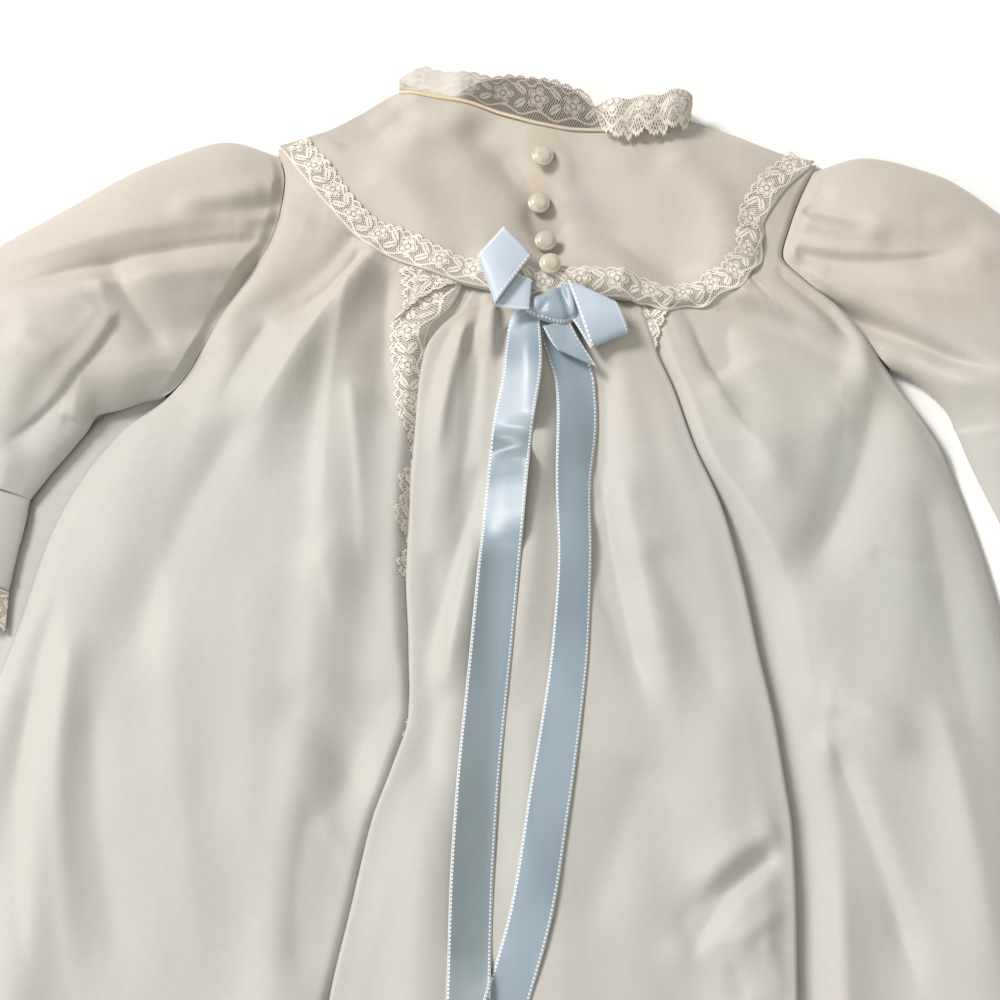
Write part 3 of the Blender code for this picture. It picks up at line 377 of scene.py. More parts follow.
CENTRE_FINE = seen_folds(
    16,
    (480, 294, 470, 322, 460, 360, -3.12, -1.87, 2.8, 3.4),
    (491, 296, 489, 326, 486, 358, 2.81, 1.87, 2.6, 3.4),
    (501, 298, 499, 328, 499, 360, -3.12, -1.87, 2.6, 3.4),
    (464, 302, 442, 372, 426, 462, 4.68, 3.12, 5, 6.5, -0.35),
    (450, 312, 428, 356, 421, 408, -2.81, -2.18, 3.6, 4.6),
    (476, 322, 462, 420, 440, 540, -3.43, -3.12, 5, 6),
    (472, 450, 448, 560, 422, 656, -3.12, -3.43, 4.6, 5.2),
    (468, 520, 452, 600, 440, 690, 3.28, 3.28, 4.4, 5, 0.45),
    (440, 676, 424, 730, 424, 790, -2.03, -1.87, 7, 8),
    (512, 320, 520, 420, 510, 540, 2.34, 2.03, 6, 8),
    (542, 400, 524, 540, 506, 690, 2.81, 2.34, 7, 8),
    (606, 350, 596, 430, 600, 500, -2.5, -2.81, 4.6, 5),
    (598, 470, 614, 590, 650, 710, -3.74, -2.65, 4, 5, -0.4),
    (610, 450, 640, 590, 674, 740, 3.12, 2.5, 7, 9),
    (636, 326, 664, 372, 706, 490, 3.12, 2.81, 6, 8, -0.2),
    (630, 740, 600, 840, 560, 940, -2.81, -2.34, 12, 12),
    (522, 690, 516, 800, 520, 920, 2.03, 2.03, 9, 9),
    (784, 842, 730, 876, 682, 956, -5.96, -6.66, 5, 5.4, -0.4),
    (786, 818, 730, 846, 686, 892, 3.51, 2.97, 6, 6),
    (796, 898, 748, 922, 714, 968, 3.51, 2.97, 5.5, 6),
    (726, 940, 734, 975, 744, 1010, -2.34, -2.34, 5, 5),
    (762, 934, 778, 972, 786, 1010, 2.34, 2.34, 5, 5),
    (640, 540, 690, 640, 728, 740, -2.03, -2.03, 8, 10),
)
YOKE_FINE = seen_folds(
    10,
    (346, 130, 372, 126, 400, 108, -3, -3, 5.9, 5.9),
    (396, 126, 424, 128, 456, 110, 1.8, 1.56, 6.8, 8.1),
    (470, 134, 486, 156, 504, 172, -2.16, -1.32, 6.8, 8.1),
    (506, 164, 530, 200, 546, 254, -1.68, -2.04, 8.1, 8.1),
    (398, 150, 408, 200, 422, 250, 1.92, 1.68, 9.5, 10.8),
    (560, 140, 590, 146, 634, 140, 1.68, 1.2, 8.1, 9.5),
    (586, 180, 630, 228, 690, 276, -2.52, -3, 12.2, 12.2, 0.3),
    (636, 166, 690, 200, 734, 236, 1.56, 1.32, 13.5, 13.5),
    (436, 262, 500, 272, 566, 270, 2.4, 2.4, 6.8, 6.8),
    (586, 272, 640, 280, 704, 276, 2.04, 1.92, 6.8, 6.8),
    (450, 180, 470, 220, 500, 250, 1.2, 1.1, 12.2, 12.2),
)
LEFT_SLEEVE_FINE = seen_folds(
    18,
    (284, 184, 250, 196, 190, 206, -2.67, -1.45, 3.4, 5, 0.2),
    (266, 176, 222, 188, 160, 198, 1.83, 1.23, 5, 7),
    (284, 200, 262, 206, 230, 218, 1.83, 1.23, 3, 4.6),
    (284, 210, 262, 216, 238, 226, -1.66, -1.03, 2.6, 4),
    (278, 222, 136, 246, -14, 280, -3.91, -4.14, 6, 9, 0.6),
    (266, 204, 136, 226, -14, 256, 3, 3, 6, 7),
    (272, 246, 190, 266, 104, 276, 1.66, 1.66, 5, 7),
    (106, 262, 128, 304, 170, 352, -2.5, -2.67, 4.4, 6, -0.4),
    (98, 276, 104, 316, 132, 356, 2.33, 1.83, 5, 6),
    (120, 304, 66, 372, -14, 440, -3.68, -3.91, 6, 8, 0.65),
    (96, 300, 62, 336, 26, 370, 2.6, 2.4, 6, 6),
    (56, 396, 110, 406, 172, 402, 3.67, 3.16, 5, 6, 0.8),
    (232, 296, 200, 312, 160, 326, -1.55, -1.14, 5, 7),
    (220, 326, 190, 345, 166, 376, 1.35, 1.03, 6, 7),
    (96, 412, 70, 420, 30, 450, 1.83, 1.83, 5, 6),
    (60, 404, 90, 420, 100, 436, -1.66, -1.45, 4, 5),
)
RIGHT_SLEEVE_FINE = seen_folds(
    18,
    (800, 194, 834, 206, 882, 222, -4.2, -2.8, 3.4, 4.6, -0.3),
    (798, 209, 838, 226, 896, 242, 3, 2.2, 4, 6),
    (782, 232, 862, 254, 976, 243, -5.6, -4.4, 4, 6, -0.5),
    (796, 252, 880, 278, 1010, 296, 2.6, 2.4, 6, 9),
    (786, 262, 892, 316, 1014, 378, -8, -9.5, 4.4, 6.5, -0.55),
    (850, 322, 920, 362, 1010, 390, 3.6, 3.6, 5, 6),
    (872, 364, 925, 400, 1010, 414, -4.5, -4.5, 4, 5, 0.7),
    (824, 176, 880, 180, 950, 200, 1.6, 1.6, 6, 8),
)
NECK_REACH = table(
    "t reach",
    (0, 4), (0.05, 8), (0.10, 12), (0.20, 12.5), (0.30, 13.5), (0.38, 18), (0.48, 21), (0.60, 19),
    (0.68, 17), (1, 18),
)
NECK_BACK = table(
    "x y", (-50, 355), (-34, 364), (-24, 371), (-11, 373.5), (1, 373), (18, 367), (26, 355)
)
NECK_TURN = table("k y z", (0.0, 0, 0), (0.2, 7, 5), (0.45, 10, 8), (0.7, 3, 7.5), (1.0, -7.5, 3.8))
CORNER = table(
    "t low_x low_y high_x high_y",
    (0, -55.5, 253.2, -51, 256.5), (0.5, -40.8, 265.6, -43.5, 278.5), (1, -23.6, 274.5, -27, 278),
)
KNOT = table(
    "u top low",
    (-1, 263.8, 258.8), (-0.3, 265.9, 254.6), (0.3, 270.2, 252.8), (0.75, 271.4, 254.8),
    (1, 269.5, 256.6),
)
LEFT_WAVES = table(
    "y tilt lift",
    (262, 0.0, 0.0), (248, 2.0, 0.3), (214, 2.5, 0.6), (204, -2.0, 0.2),
    (193, 2.5, 0.9), (170, 2.1, 0.3), (150, -1.4, 0.6), (96, -0.9, 0.2),
    (40, -1.4, 0.7), (6, -0.8, 0.1), (-16, 2.0, 0.5), (-34, 1.7, 0.3),
    (-50, -1.5, 0.6), (-96, 0.9, 0.2),
)
RIGHT_WAVES = table(
    "y tilt lift",
    (262, 0.0, 0.0), (246, 0.4, 0.2), (210, -0.8, 0.6), (178, -0.2, 0.2),
    (164, 0.9, 0.5), (130, -0.7, 0.3), (60, -0.4, 0.6), (10, 0.5, 0.2),
    (-40, -0.8, 0.6), (-98, 0.4, 0.2),
)


class Side(Enum):
    """Side of the gown as the camera sees it."""

    LEFT = -1
    RIGHT = 1

    @property
    def word(self) -> str:
        """The side's name as it stands in node names."""
        return self.name.lower()


class Slot(Enum):
    """Material slots of the record."""

    CLOTH = "cloth"
    LACE = "lace"
    PEARL = "pearl"
    RIBBON = "ribbon"


def smooth_line(keys: Grid, values: Grid, at: Grid | float) -> Grid:
    """Value at each place on a smooth line through a table, without overshoot.

    Args:
        keys: places of the table's rows, rising or falling.
        values: values at those places.
        at: places asked for.

    Returns:
        The line's value at each place.
    """
    keys, values = np.asarray(keys, float), np.asarray(values, float)
    if keys[0] > keys[-1]:
        keys, values = keys[::-1], values[::-1]
    step = np.diff(keys)
    slope = np.diff(values) / step
    tangent = np.zeros_like(values)
    first, second = slope[:-1], slope[1:]
    same = first * second > 0
    early, late = 2 * step[1:] + step[:-1], step[1:] + 2 * step[:-1]
    safe = np.where(same, first, 1.0), np.where(same, second, 1.0)
    mean = (early + late) / (early / safe[0] + late / safe[1])
    tangent[1:-1] = np.where(same, mean, 0.0)
    tangent[0], tangent[-1] = slope[0], slope[-1]
    at = np.clip(np.asarray(at, float), keys[0], keys[-1])
    i = np.clip(np.searchsorted(keys, at) - 1, 0, len(step) - 1)
    t = (at - keys[i]) / step[i]
    rise = values[i + 1] - values[i]
    start, end = tangent[i] * step[i], tangent[i + 1] * step[i]
    return values[i] + t * t * (3 - 2 * t) * rise + t * (1 - t) * ((1 - t) * start - t * end)


def ease(t: Grid | float) -> Grid:
    """Smooth step from 0 to 1."""
    t = np.clip(t, 0.0, 1.0)
    return t * t * (3 - 2 * t)


def along(line: Table, fraction: Grid | float) -> tuple[Grid, Grid]:
    """Point at a fraction of the length of a line.

    Args:
        line: columns x and y.
        fraction: share of the length, 0 to 1.

    Returns:
        The x and y of each point.
    """
    x, y = line["x"], line["y"]
    reach = np.concatenate([[0.0], np.cumsum(np.hypot(np.diff(x), np.diff(y)))])
    at = np.asarray(fraction, float) * reach[-1]
    return smooth_line(reach, x, at), smooth_line(reach, y, at)


def creases(folds: Table, x: Grid, y: Grid, crisp: bool = False) -> Grid:
    """Height that a table of folds adds at each point.

    Args:
        folds: one fold a row, along a curve through three points. Its lean makes one
            flank steep and the other long.
        x: places across.
        y: places up the gown.
        crisp: whether the folds have a narrow crest and die away at their ends.

    Returns:
        The height added, in millimetres.
    """
    total = np.zeros(np.shape(x))
    t = np.linspace(0.0, 1.0, 13)
    for n in range(len(folds["x0"])):
        fold = {name: column[n] for name, column in folds.items()}
        before = np.hypot(fold["x1"] - fold["x0"], fold["y1"] - fold["y0"])
        after = np.hypot(fold["x2"] - fold["x1"], fold["y2"] - fold["y1"])
        m = np.clip(before / (before + after), 0.2, 0.8)
        mid_x = (fold["x1"] - (1 - m) ** 2 * fold["x0"] - m**2 * fold["x2"]) / (2 * m * (1 - m))
        mid_y = (fold["y1"] - (1 - m) ** 2 * fold["y0"] - m**2 * fold["y2"]) / (2 * m * (1 - m))
        px = (1 - t) ** 2 * fold["x0"] + 2 * t * (1 - t) * mid_x + t**2 * fold["x2"]
        py = (1 - t) ** 2 * fold["y0"] + 2 * t * (1 - t) * mid_y + t**2 * fold["y2"]
        dx, dy = np.diff(px), np.diff(py)
        ox, oy = x[..., None] - px[:-1], y[..., None] - py[:-1]
        k = np.clip((ox * dx + oy * dy) / (dx**2 + dy**2), 0.0, 1.0)
        away = np.hypot(ox - k * dx, oy - k * dy)
        side = np.clip((dx * oy - dy * ox) / (2.5 * np.hypot(dx, dy)), -1.0, 1.0)
        place = (np.arange(12) + k) / 12
        width = fold["width0"] + (fold["width1"] - fold["width0"]) * place
        width = width * (1 + fold["lean"] * side)
        nearest = np.argmin(away, axis=-1)[..., None]
        away = np.take_along_axis(away, nearest, -1)[..., 0]
        width = np.take_along_axis(width, nearest, -1)[..., 0]
        place = np.take_along_axis(place, nearest, -1)[..., 0]
        height = fold["height0"] + (fold["height1"] - fold["height0"]) * place
        if crisp:
            height = height * ease(place / 0.14) * ease((1 - place) / 0.3)
            total += CRISP_DEPTH * height * np.exp(-(((away / width) ** 2 + 0.02) ** 0.75))
        else:
            total += FOLD_DEPTH * height * np.exp(-((away / width) ** 2))
    return total


def drift(x: Grid, y: Grid, size: float, stretch: float, seed: float) -> Grid:
    """Slow unevenness of cloth that has been used and laid down, from -1 to 1.

    Args:
        x: places across.
        y: places up the gown.
        size: width of one swell.
        stretch: how many times longer a swell is up the gown.
        seed: shifts the pattern from piece to piece.

    Returns:
        The unevenness at each point.
    """
    x, y = np.broadcast_arrays(np.asarray(x, float), np.asarray(y, float))
    flat = [
        noise.noise(Vector((a / size, b / size / stretch, seed)))
        for a, b in zip(x.ravel(), y.ravel())
    ]
    return np.array(flat).reshape(x.shape)


def gathers(run: Grid, depth: Grid, pitch: float, height: float, reach: float) -> Grid:
    """Uneven small pleats that fan out of a gathered seam and die away.

    Args:
        run: distance along the seam.
        depth: distance from the seam.
        pitch: usual distance between pleats.
        height: height of the pleats beside the seam.
        reach: depth at which they are half gone.

    Returns:
        The height added.
    """
    beat = run / pitch + 0.9 * np.sin(run / (pitch * 2.3)) + 0.5 * np.sin(run / (pitch * 5.1) + 1.0)
    sharp = 1 - np.abs(np.sin(np.pi * beat)) ** 0.8 * 2
    strong = 0.65 + 0.35 * np.sin(run / (pitch * 3.7) + 2.0)
    return height * strong * sharp * 0.5 ** (depth / reach) * ease(depth / 1.5 + 0.35)


def outline(name: str, y: Grid | float) -> Grid:
    """Column of the gown's outline at a height up the gown."""
    return smooth_line(OUTLINE["y"], OUTLINE[name], y)


def body_height(x: Grid, y: Grid) -> Grid:
    """Top of the gown's front before its folds.

    Args:
        x: places across.
        y: places up the gown.

    Returns:
        The height at each place.
    """
    left, right = outline("left", y), outline("right", y)
    side = np.clip(np.abs(2 * (x - left) / (right - left) - 1), 0.0, 1.0)
    edge, crown = outline("edge", y), outline("crown", y)
    top = edge + (crown - edge) * (1 - side**10)
    shoulder = smooth_line(YOKE_TOP["x"], YOKE_TOP["y"], x)
    drop = np.exp(-((np.maximum(shoulder - y, 0.0) / 11.0) ** 2))
    return top + (SHOULDER_TOP - top) * drop * ease((np.abs(x - 3) - 52) / 14)


def centre_edge(name: str, y: Grid | float) -> Grid:
    """Fold edge of the centre panel, left or right."""
    return smooth_line(CENTRE["y"], CENTRE[name], y)


def seam_point(fraction: Grid, inside: Grid | float = 0.0) -> tuple[Grid, Grid]:
    """Point of the yoke seam, moved into the yoke by a distance.

    Args:
        fraction: share of the seam, from its left end.
        inside: distance into the yoke.

    Returns:
        The x and y of each point.
    """
    x, y = along(YOKE_SEAM, fraction)
    ahead = along(YOKE_SEAM, np.minimum(fraction + 0.01, 1.0))
    behind = along(YOKE_SEAM, np.maximum(fraction - 0.01, 0.0))
    dx, dy = ahead[0] - behind[0], ahead[1] - behind[1]
    length = np.hypot(dx, dy)
    return x - dy / length * inside, y + dx / length * inside


def row_points(points: Grid) -> Grid:
    """The drawing's millimetres as metres in the frame."""
    return (np.asarray(points, float) - ORIGIN) * MM


def lengths(points: Grid, axis: int) -> Grid:
    """Distance run along one axis of a grid, from its first line."""
    step = np.linalg.norm(np.diff(points, axis=axis), axis=-1)
    start = np.zeros_like(np.take(step, [0], axis=axis))
    return np.concatenate([start, np.cumsum(step, axis=axis)], axis=axis)


def soften(values: Grid, times: int) -> Grid:
    """Values of a grid spread over their neighbours, so that a lift leaves no steps.

    Args:
        values: the grid.
        times: how often each value is shared with its neighbours.

    Returns:
        The softened grid.
    """
    for _ in range(times):
        wide = np.pad(values, 1, mode="edge")
        values = (
            4 * values + wide[:-2, 1:-1] + wide[2:, 1:-1] + wide[1:-1, :-2] + wide[1:-1, 2:]
        ) / 8
    return values


@dataclass(frozen=True)
class Strip:
    """Lace or ribbon that is about to be laid down."""

    x: Grid
    y: Grid
    lift: Grid
    floor: float = BACK_TOP


class Bed:
    """What has been laid down so far, for the next piece to lie on."""

    def __init__(self) -> None:
        """Starts with nothing but the back of the gown."""
        self.trees: list[BVHTree] = []

    def add(self, points: Grid) -> None:
        """Lays down a grid of points.

        Args:
            points: the grid, in the drawing's millimetres.
        """
        rows, columns = points.shape[:2]
        index = np.arange(rows * columns).reshape(rows, columns)
        faces = np.stack(
            [index[:-1, :-1], index[:-1, 1:], index[1:, 1:], index[1:, :-1]], axis=-1
        ).reshape(-1, 4)
        corners = [Vector(p) for p in points.reshape(-1, 3)]
        self.trees.append(BVHTree.FromPolygons(corners, [tuple(int(i) for i in f) for f in faces]))

    def top(self, x: Grid, y: Grid, floor: float = BACK_TOP) -> Grid:
        """Highest surface under each point.

        Args:
            x: places across.
            y: places up the gown.
            floor: height where nothing lies.

        Returns:
            The height of what lies there.
        """
        x, y = np.broadcast_arrays(np.asarray(x, float), np.asarray(y, float))
        found = np.full(x.shape, float(floor))
        down = Vector((0.0, 0.0, -1.0))
        for at in np.ndindex(x.shape):
            start = Vector((x[at], y[at], 200.0))
            for tree in self.trees:
                hit = tree.ray_cast(start, down)[0]
                if hit is not None and hit.z > found[at]:
                    found[at] = hit.z
        return found

    def lay(self, strip: Strip, gap: float, least: float, times: int) -> Grid:
        """Lays a strip on what lies there, softly over its steps.

        Args:
            strip: its places across and up the gown, and what it adds to the height.
            gap: height to keep above what lies there, before it is softened.
            least: height to keep above it afterwards.
            times: how far the steps are spread.

        Returns:
            The strip's places.
        """
        under = self.top(strip.x, strip.y, strip.floor)
        z = soften(under, times) + gap + strip.lift
        return np.stack([strip.x, strip.y, np.maximum(z, under + least)], -1)

    def clear(self, points: Grid, gap: float, times: int = 6, floor: float = BACK_TOP) -> Grid:
        """Lifts a grid softly until it clears what lies under it.

        Args:
            points: the grid.
            gap: height to keep above what lies there.
            times: how far each lift is spread.
            floor: height where nothing lies.

        Returns:
            The lifted grid.
        """
        points = points.copy()
        need = self.top(points[..., 0], points[..., 1], floor) + gap
        lack = np.maximum(need - points[..., 2], 0.0)
        points[..., 2] += soften(lack, times)
        points[..., 2] = np.maximum(points[..., 2], need)
        return points


@dataclass(frozen=True)
class Cut:
    """How a piece was cut, for comparing its area with the sheet of cloth."""

    width: float
    length: float
    held: str = "laid"
    area: float | None = None


def placed(name: str, data: bpy.types.ID) -> bpy.types.Object:
    """New object in the scene."""
    thing = bpy.data.objects.new(name, data)
    bpy.context.scene.collection.objects.link(thing)
    return thing


def sewn_piece(
    name: str,
    points: Grid,
    chart: Grid,
    material: bpy.types.Material,
    wall: float,
    ring: bool = False,
) -> bpy.types.Object:
    """Makes a piece of cloth from a grid that bmesh shapes point by point.

    Args:
        name: the piece's name.
        points: rows and columns of places, in the drawing's millimetres.
        chart: UV of each place, in millimetres of cloth.
        material: the finish.
        wall: thickness of the cloth, laid under the given points.
        ring: whether the last column joins the first.

    Returns:
        The piece, riding on the gown.
    """
    rows, columns = points.shape[:2]
    work = bmesh.new()
    bmesh.ops.create_grid(work, x_segments=columns - 1, y_segments=rows - 1, size=0.5)
    work.verts.ensure_lookup_table()
    place = {}
    for vertex in work.verts:
        j = round((vertex.co.x + 0.5) * (columns - 1))
        i = rows - 1 - round((vertex.co.y + 0.5) * (rows - 1))
        place[vertex.index] = (i, j)
    layer = work.loops.layers.uv.new("cloth")
    for face in work.faces:
        for loop in face.loops:
            loop[layer].uv = chart[place[loop.vert.index]]
        face.smooth = True
    metres = row_points(points)
    for vertex in work.verts:
        vertex.co = metres[place[vertex.index]]
    if ring:
        bmesh.ops.remove_doubles(work, verts=work.verts, dist=1e-6)
    middle = float(np.median(metres[..., 2]))
    lean = sum(
        f.normal.z * f.calc_area() * (f.calc_center_median().z - middle if ring else 1.0)
        for f in work.faces
    )
    if lean < 0:
        bmesh.ops.reverse_faces(work, faces=work.faces)
    mesh = bpy.data.meshes.new(name)
    work.to_mesh(mesh)
    work.free()
    mesh.materials.append(material)
    piece = placed(name, mesh)
    shell = piece.modifiers.new("cloth wall", "SOLIDIFY")
    shell.thickness = wall * MM
    shell.offset = -1.0
    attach(piece, "root")
    LOG.info("%s: %d x %d", name, rows, columns)
    return piece


def cloth_chart(points: Grid, along_axis: int = 0) -> Grid:
    """UV of cloth: the distances run along its grid and across it."""
    return np.stack([lengths(points, along_axis), lengths(points, 1 - along_axis)], -1)


def strip_chart(points: Grid, across: Grid, column: int = 0) -> Grid:
    """UV of a strip that runs down its grid: the distance run and the place across."""
    run = lengths(points, 0)[:, column][:, None]
    return np.stack(np.broadcast_arrays(run, across), -1)


def ring_chart(points: Grid, width: float) -> Grid:
    """UV of lace that runs round a ring: the distance round and the place across."""
    across = np.linspace(0.0, width, len(points))[:, None]
    return np.stack(np.broadcast_arrays(lengths(points[:1], 1), across), -1)


def sew_lace(
    finishes: "Finishes",
    name: str,
    finish_name: str,
    points: Grid,
    chart: Grid,
    cut: Cut,
    rests_on: str = "",
    node: str = "",
    neck_shade: bool = False,
    ring: bool = False,
) -> bpy.types.Object:
    """Args:
        finishes: the gown's finishes.
        name: the piece's name.
        finish_name: the name of its finish.
        points: rows and columns of places, in the drawing's millimetres.
        chart: UV of each place, in millimetres of lace.
        cut: how it was cut.
        rests_on: the piece that it lies on.
        node: the CAD node that it stands for.
        neck_shade: whether a painted shadow of the gown's inside shows through it.
        ring: whether the last column joins the first.

    Returns:
        The piece.
    """
    finish = finishes.lace(finish_name, cut.width / MM, neck_shade)
    piece = sewn_piece(name, points, chart, finish, LACE_WALL, ring)
    if node:
        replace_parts(piece, node)
    declare(piece, cut, *([rests_on] if rests_on else []))
    return piece


def declare(piece: bpy.types.Object, cut: Cut, *rests_on: str) -> None:
    """Logs a piece's area beside the area of the sheet it was cut from.

    Args:
        piece: the piece.
        cut: how it was cut.
        rests_on: the pieces that it lies on; not used.
    """
    shown = sum(face.area for face in piece.data.polygons)
    flat = cut.area or cut.width * cut.length
    LOG.info("%s: %.4f of %.4f square metres, %.2f", piece.name, shown, flat, shown / flat)


class Field:
    """A number that varies over a surface, written as arithmetic on shader sockets."""

    def __init__(self, tree: bpy.types.NodeTree, socket: bpy.types.NodeSocket) -> None:
        """Wraps a socket of a node tree."""
        self.tree, self.socket = tree, socket

    def math(self, operation: str, *others: "Field | float", clamp: bool = False) -> "Field":
        """Result of a Math node on this number and others.

        Args:
            operation: what the node does.
            others: the numbers after this one.
            clamp: whether the result is kept between 0 and 1.

        Returns:
            The result.
        """
        node = self.tree.nodes.new("ShaderNodeMath")
        node.operation = operation
        node.use_clamp = clamp
        for plug, value in zip(node.inputs, (self, *others)):
            if isinstance(value, Field):
                self.tree.links.new(value.socket, plug)
            else:
                plug.default_value = float(value)
        return Field(self.tree, node.outputs[0])

    def __add__(self, other: "Field | float") -> "Field":
        """Sum."""
        return self.math("ADD", other)

    def __sub__(self, other: "Field | float") -> "Field":
        """Difference."""
        return self.math("SUBTRACT", other)

    def __mul__(self, other: "Field | float") -> "Field":
        """Product."""
        return self.math("MULTIPLY", other)

    def __truediv__(self, other: "Field | float") -> "Field":
        """Quotient."""
        return self.math("DIVIDE", other)

    def wave(self, pitch: float, shift: float = 0.0) -> "Field":
        """Sine of this length over a pitch."""
        return (self * (2 * np.pi / pitch) + shift).math("SINE")

    def size(self) -> "Field":
        """The number without its sign."""
        return self.math("ABSOLUTE")

    def near(self, pitch: float) -> "Field":
        """Signed distance to the nearest multiple of a pitch."""
        return self - (self / pitch).math("ROUND") * pitch

    def most(self, *others: "Field") -> "Field":
        """Largest of several.

        Args:
            others: the numbers beside this one.

        Returns:
            The largest.
        """
        best = self
        for other in others:
            best = best.math("MAXIMUM", other)
        return best

    def held(self) -> "Field":
        """The number kept between 0 and 1."""
        return self.math("ADD", 0.0, clamp=True)

    def inside(self, soft: float = 0.12) -> "Field":
        """1 where this distance is positive, with an edge as soft as a thread."""
        return (self / soft + 0.5).held()


def new_group(name: str, takes: dict[str, float], gives: tuple[str, ...]) -> bpy.types.NodeTree:
    """Shader node group of plain numbers.

    Args:
        name: the group's name.
        takes: inputs and their usual values.
        gives: outputs.

    Returns:
        The empty group with its sockets.
    """
    group = bpy.data.node_groups.new(name, "ShaderNodeTree")
    for title, value in takes.items():
        plug = group.interface.new_socket(title, in_out="INPUT", socket_type="NodeSocketFloat")
        plug.default_value = value
    for title in gives:
        group.interface.new_socket(title, in_out="OUTPUT", socket_type="NodeSocketFloat")
    group.nodes.new("NodeGroupInput")
    group.nodes.new("NodeGroupOutput")
    return group


def taken(group: bpy.types.NodeTree) -> dict[str, Field]:
    """The inputs of a group as fields."""
    source = next(n for n in group.nodes if n.type == "GROUP_INPUT")
    return {plug.name: Field(group, plug) for plug in source.outputs if plug.name}


def give(group: bpy.types.NodeTree, **values: Field) -> None:
    """Links fields to the outputs of a group."""
    end = next(n for n in group.nodes if n.type == "GROUP_OUTPUT")
    for title, value in values.items():
        group.links.new(value.socket, end.inputs[title])


def lace_group() -> bpy.types.NodeTree:
    """Chart of the lace: net, round flowers, leaves, vines and a scalloped edge.

    Returns:
        The node group, from millimetres of lace to its cover and relief.
    """
    repeat = 15.0
    group = new_group("lace_chart", {"Along": 0.0, "Across": 0.0, "Width": 14.0}, ("Cover", "Relief"))
    plug = taken(group)
    u, v, width = plug["Along"], plug["Across"], plug["Width"]
    dx, dy = u.near(repeat), v - width * 0.5
    away = (dx * dx + dy * dy).math("SQRT")
    turn = dy.math("ARCTAN2", dx)
    petal = (turn * 2.5).math("COSINE").size() * 2.2 + 2.5
    flower = (petal - away).inside()
    vein = ((petal - away - 0.95).size() * -1.0 + 0.26).inside()
    eye = ((away - 1.25).size() * -1.0 + 0.3).inside()
    flower = flower * (vein * -0.95 + 1.0) * (eye * -0.95 + 1.0)
    parts = [flower]
    across = (u - repeat / 2).near(repeat)
    for way, level in ((1.0, 0.34), (-1.0, 0.66)):
        rise = v - width * level
        p = across * 0.80 + rise * (0.60 * way)
        q = across * -0.60 * way + rise * 0.80
        leaf = (p * p / 9.6 + q * q / 1.9) * -1.0 + 1.0
        rib = (q.size() * -1.0 + 0.18).inside()
        parts.append((leaf * 1.1).inside() * (rib * -0.9 + 1.0))
    for level, sway, pitch, half in ((0.17, 1.2, repeat, 0.42), (0.80, 1.0, repeat / 2, 0.38)):
        vine = v - width * level - u.wave(pitch, level * 9) * sway
        parts.append((vine.size() * -1.0 + half).inside())
    scallop = (u * (3 * np.pi / repeat)).math("SINE").size()
    edge = width - 1.7 + scallop * 1.3 + u.wave(1.25) * 0.28
    parts.append(((edge - v - 0.5).size() * -1.0 + 0.42).inside())
    parts.append((v * -1.0 + 0.8).inside())
    net = [
        ((u + v * way).near(1.05).size() * -1.0 + 0.15).inside(0.1) for way in (0.62, -0.62)
    ]
    solid = parts[0].most(*parts[1:])
    holes = solid.most(*net)
    whole = (edge - v).inside()
    give(group, Cover=holes * whole, Relief=solid * 0.75 + net[0].most(net[1]) * 0.25)
    return group


def weave_group() -> bpy.types.NodeTree:
    """Plain weave of fine yarns, as a height.

    Returns:
        The node group, from millimetres of cloth to the height.
    """
    group = new_group("plain_weave", {"Along": 0.0, "Across": 0.0, "Pitch": 0.35}, ("Height",))
    plug = taken(group)
    half = plug["Pitch"]
    warp = (plug["Across"] / half * np.pi).math("SINE")
    weft = (plug["Along"] / half * np.pi).math("SINE")
    over = (warp * weft) * 0.5 + (warp * warp + weft * weft) * 0.25
    give(group, Height=over)
    return group


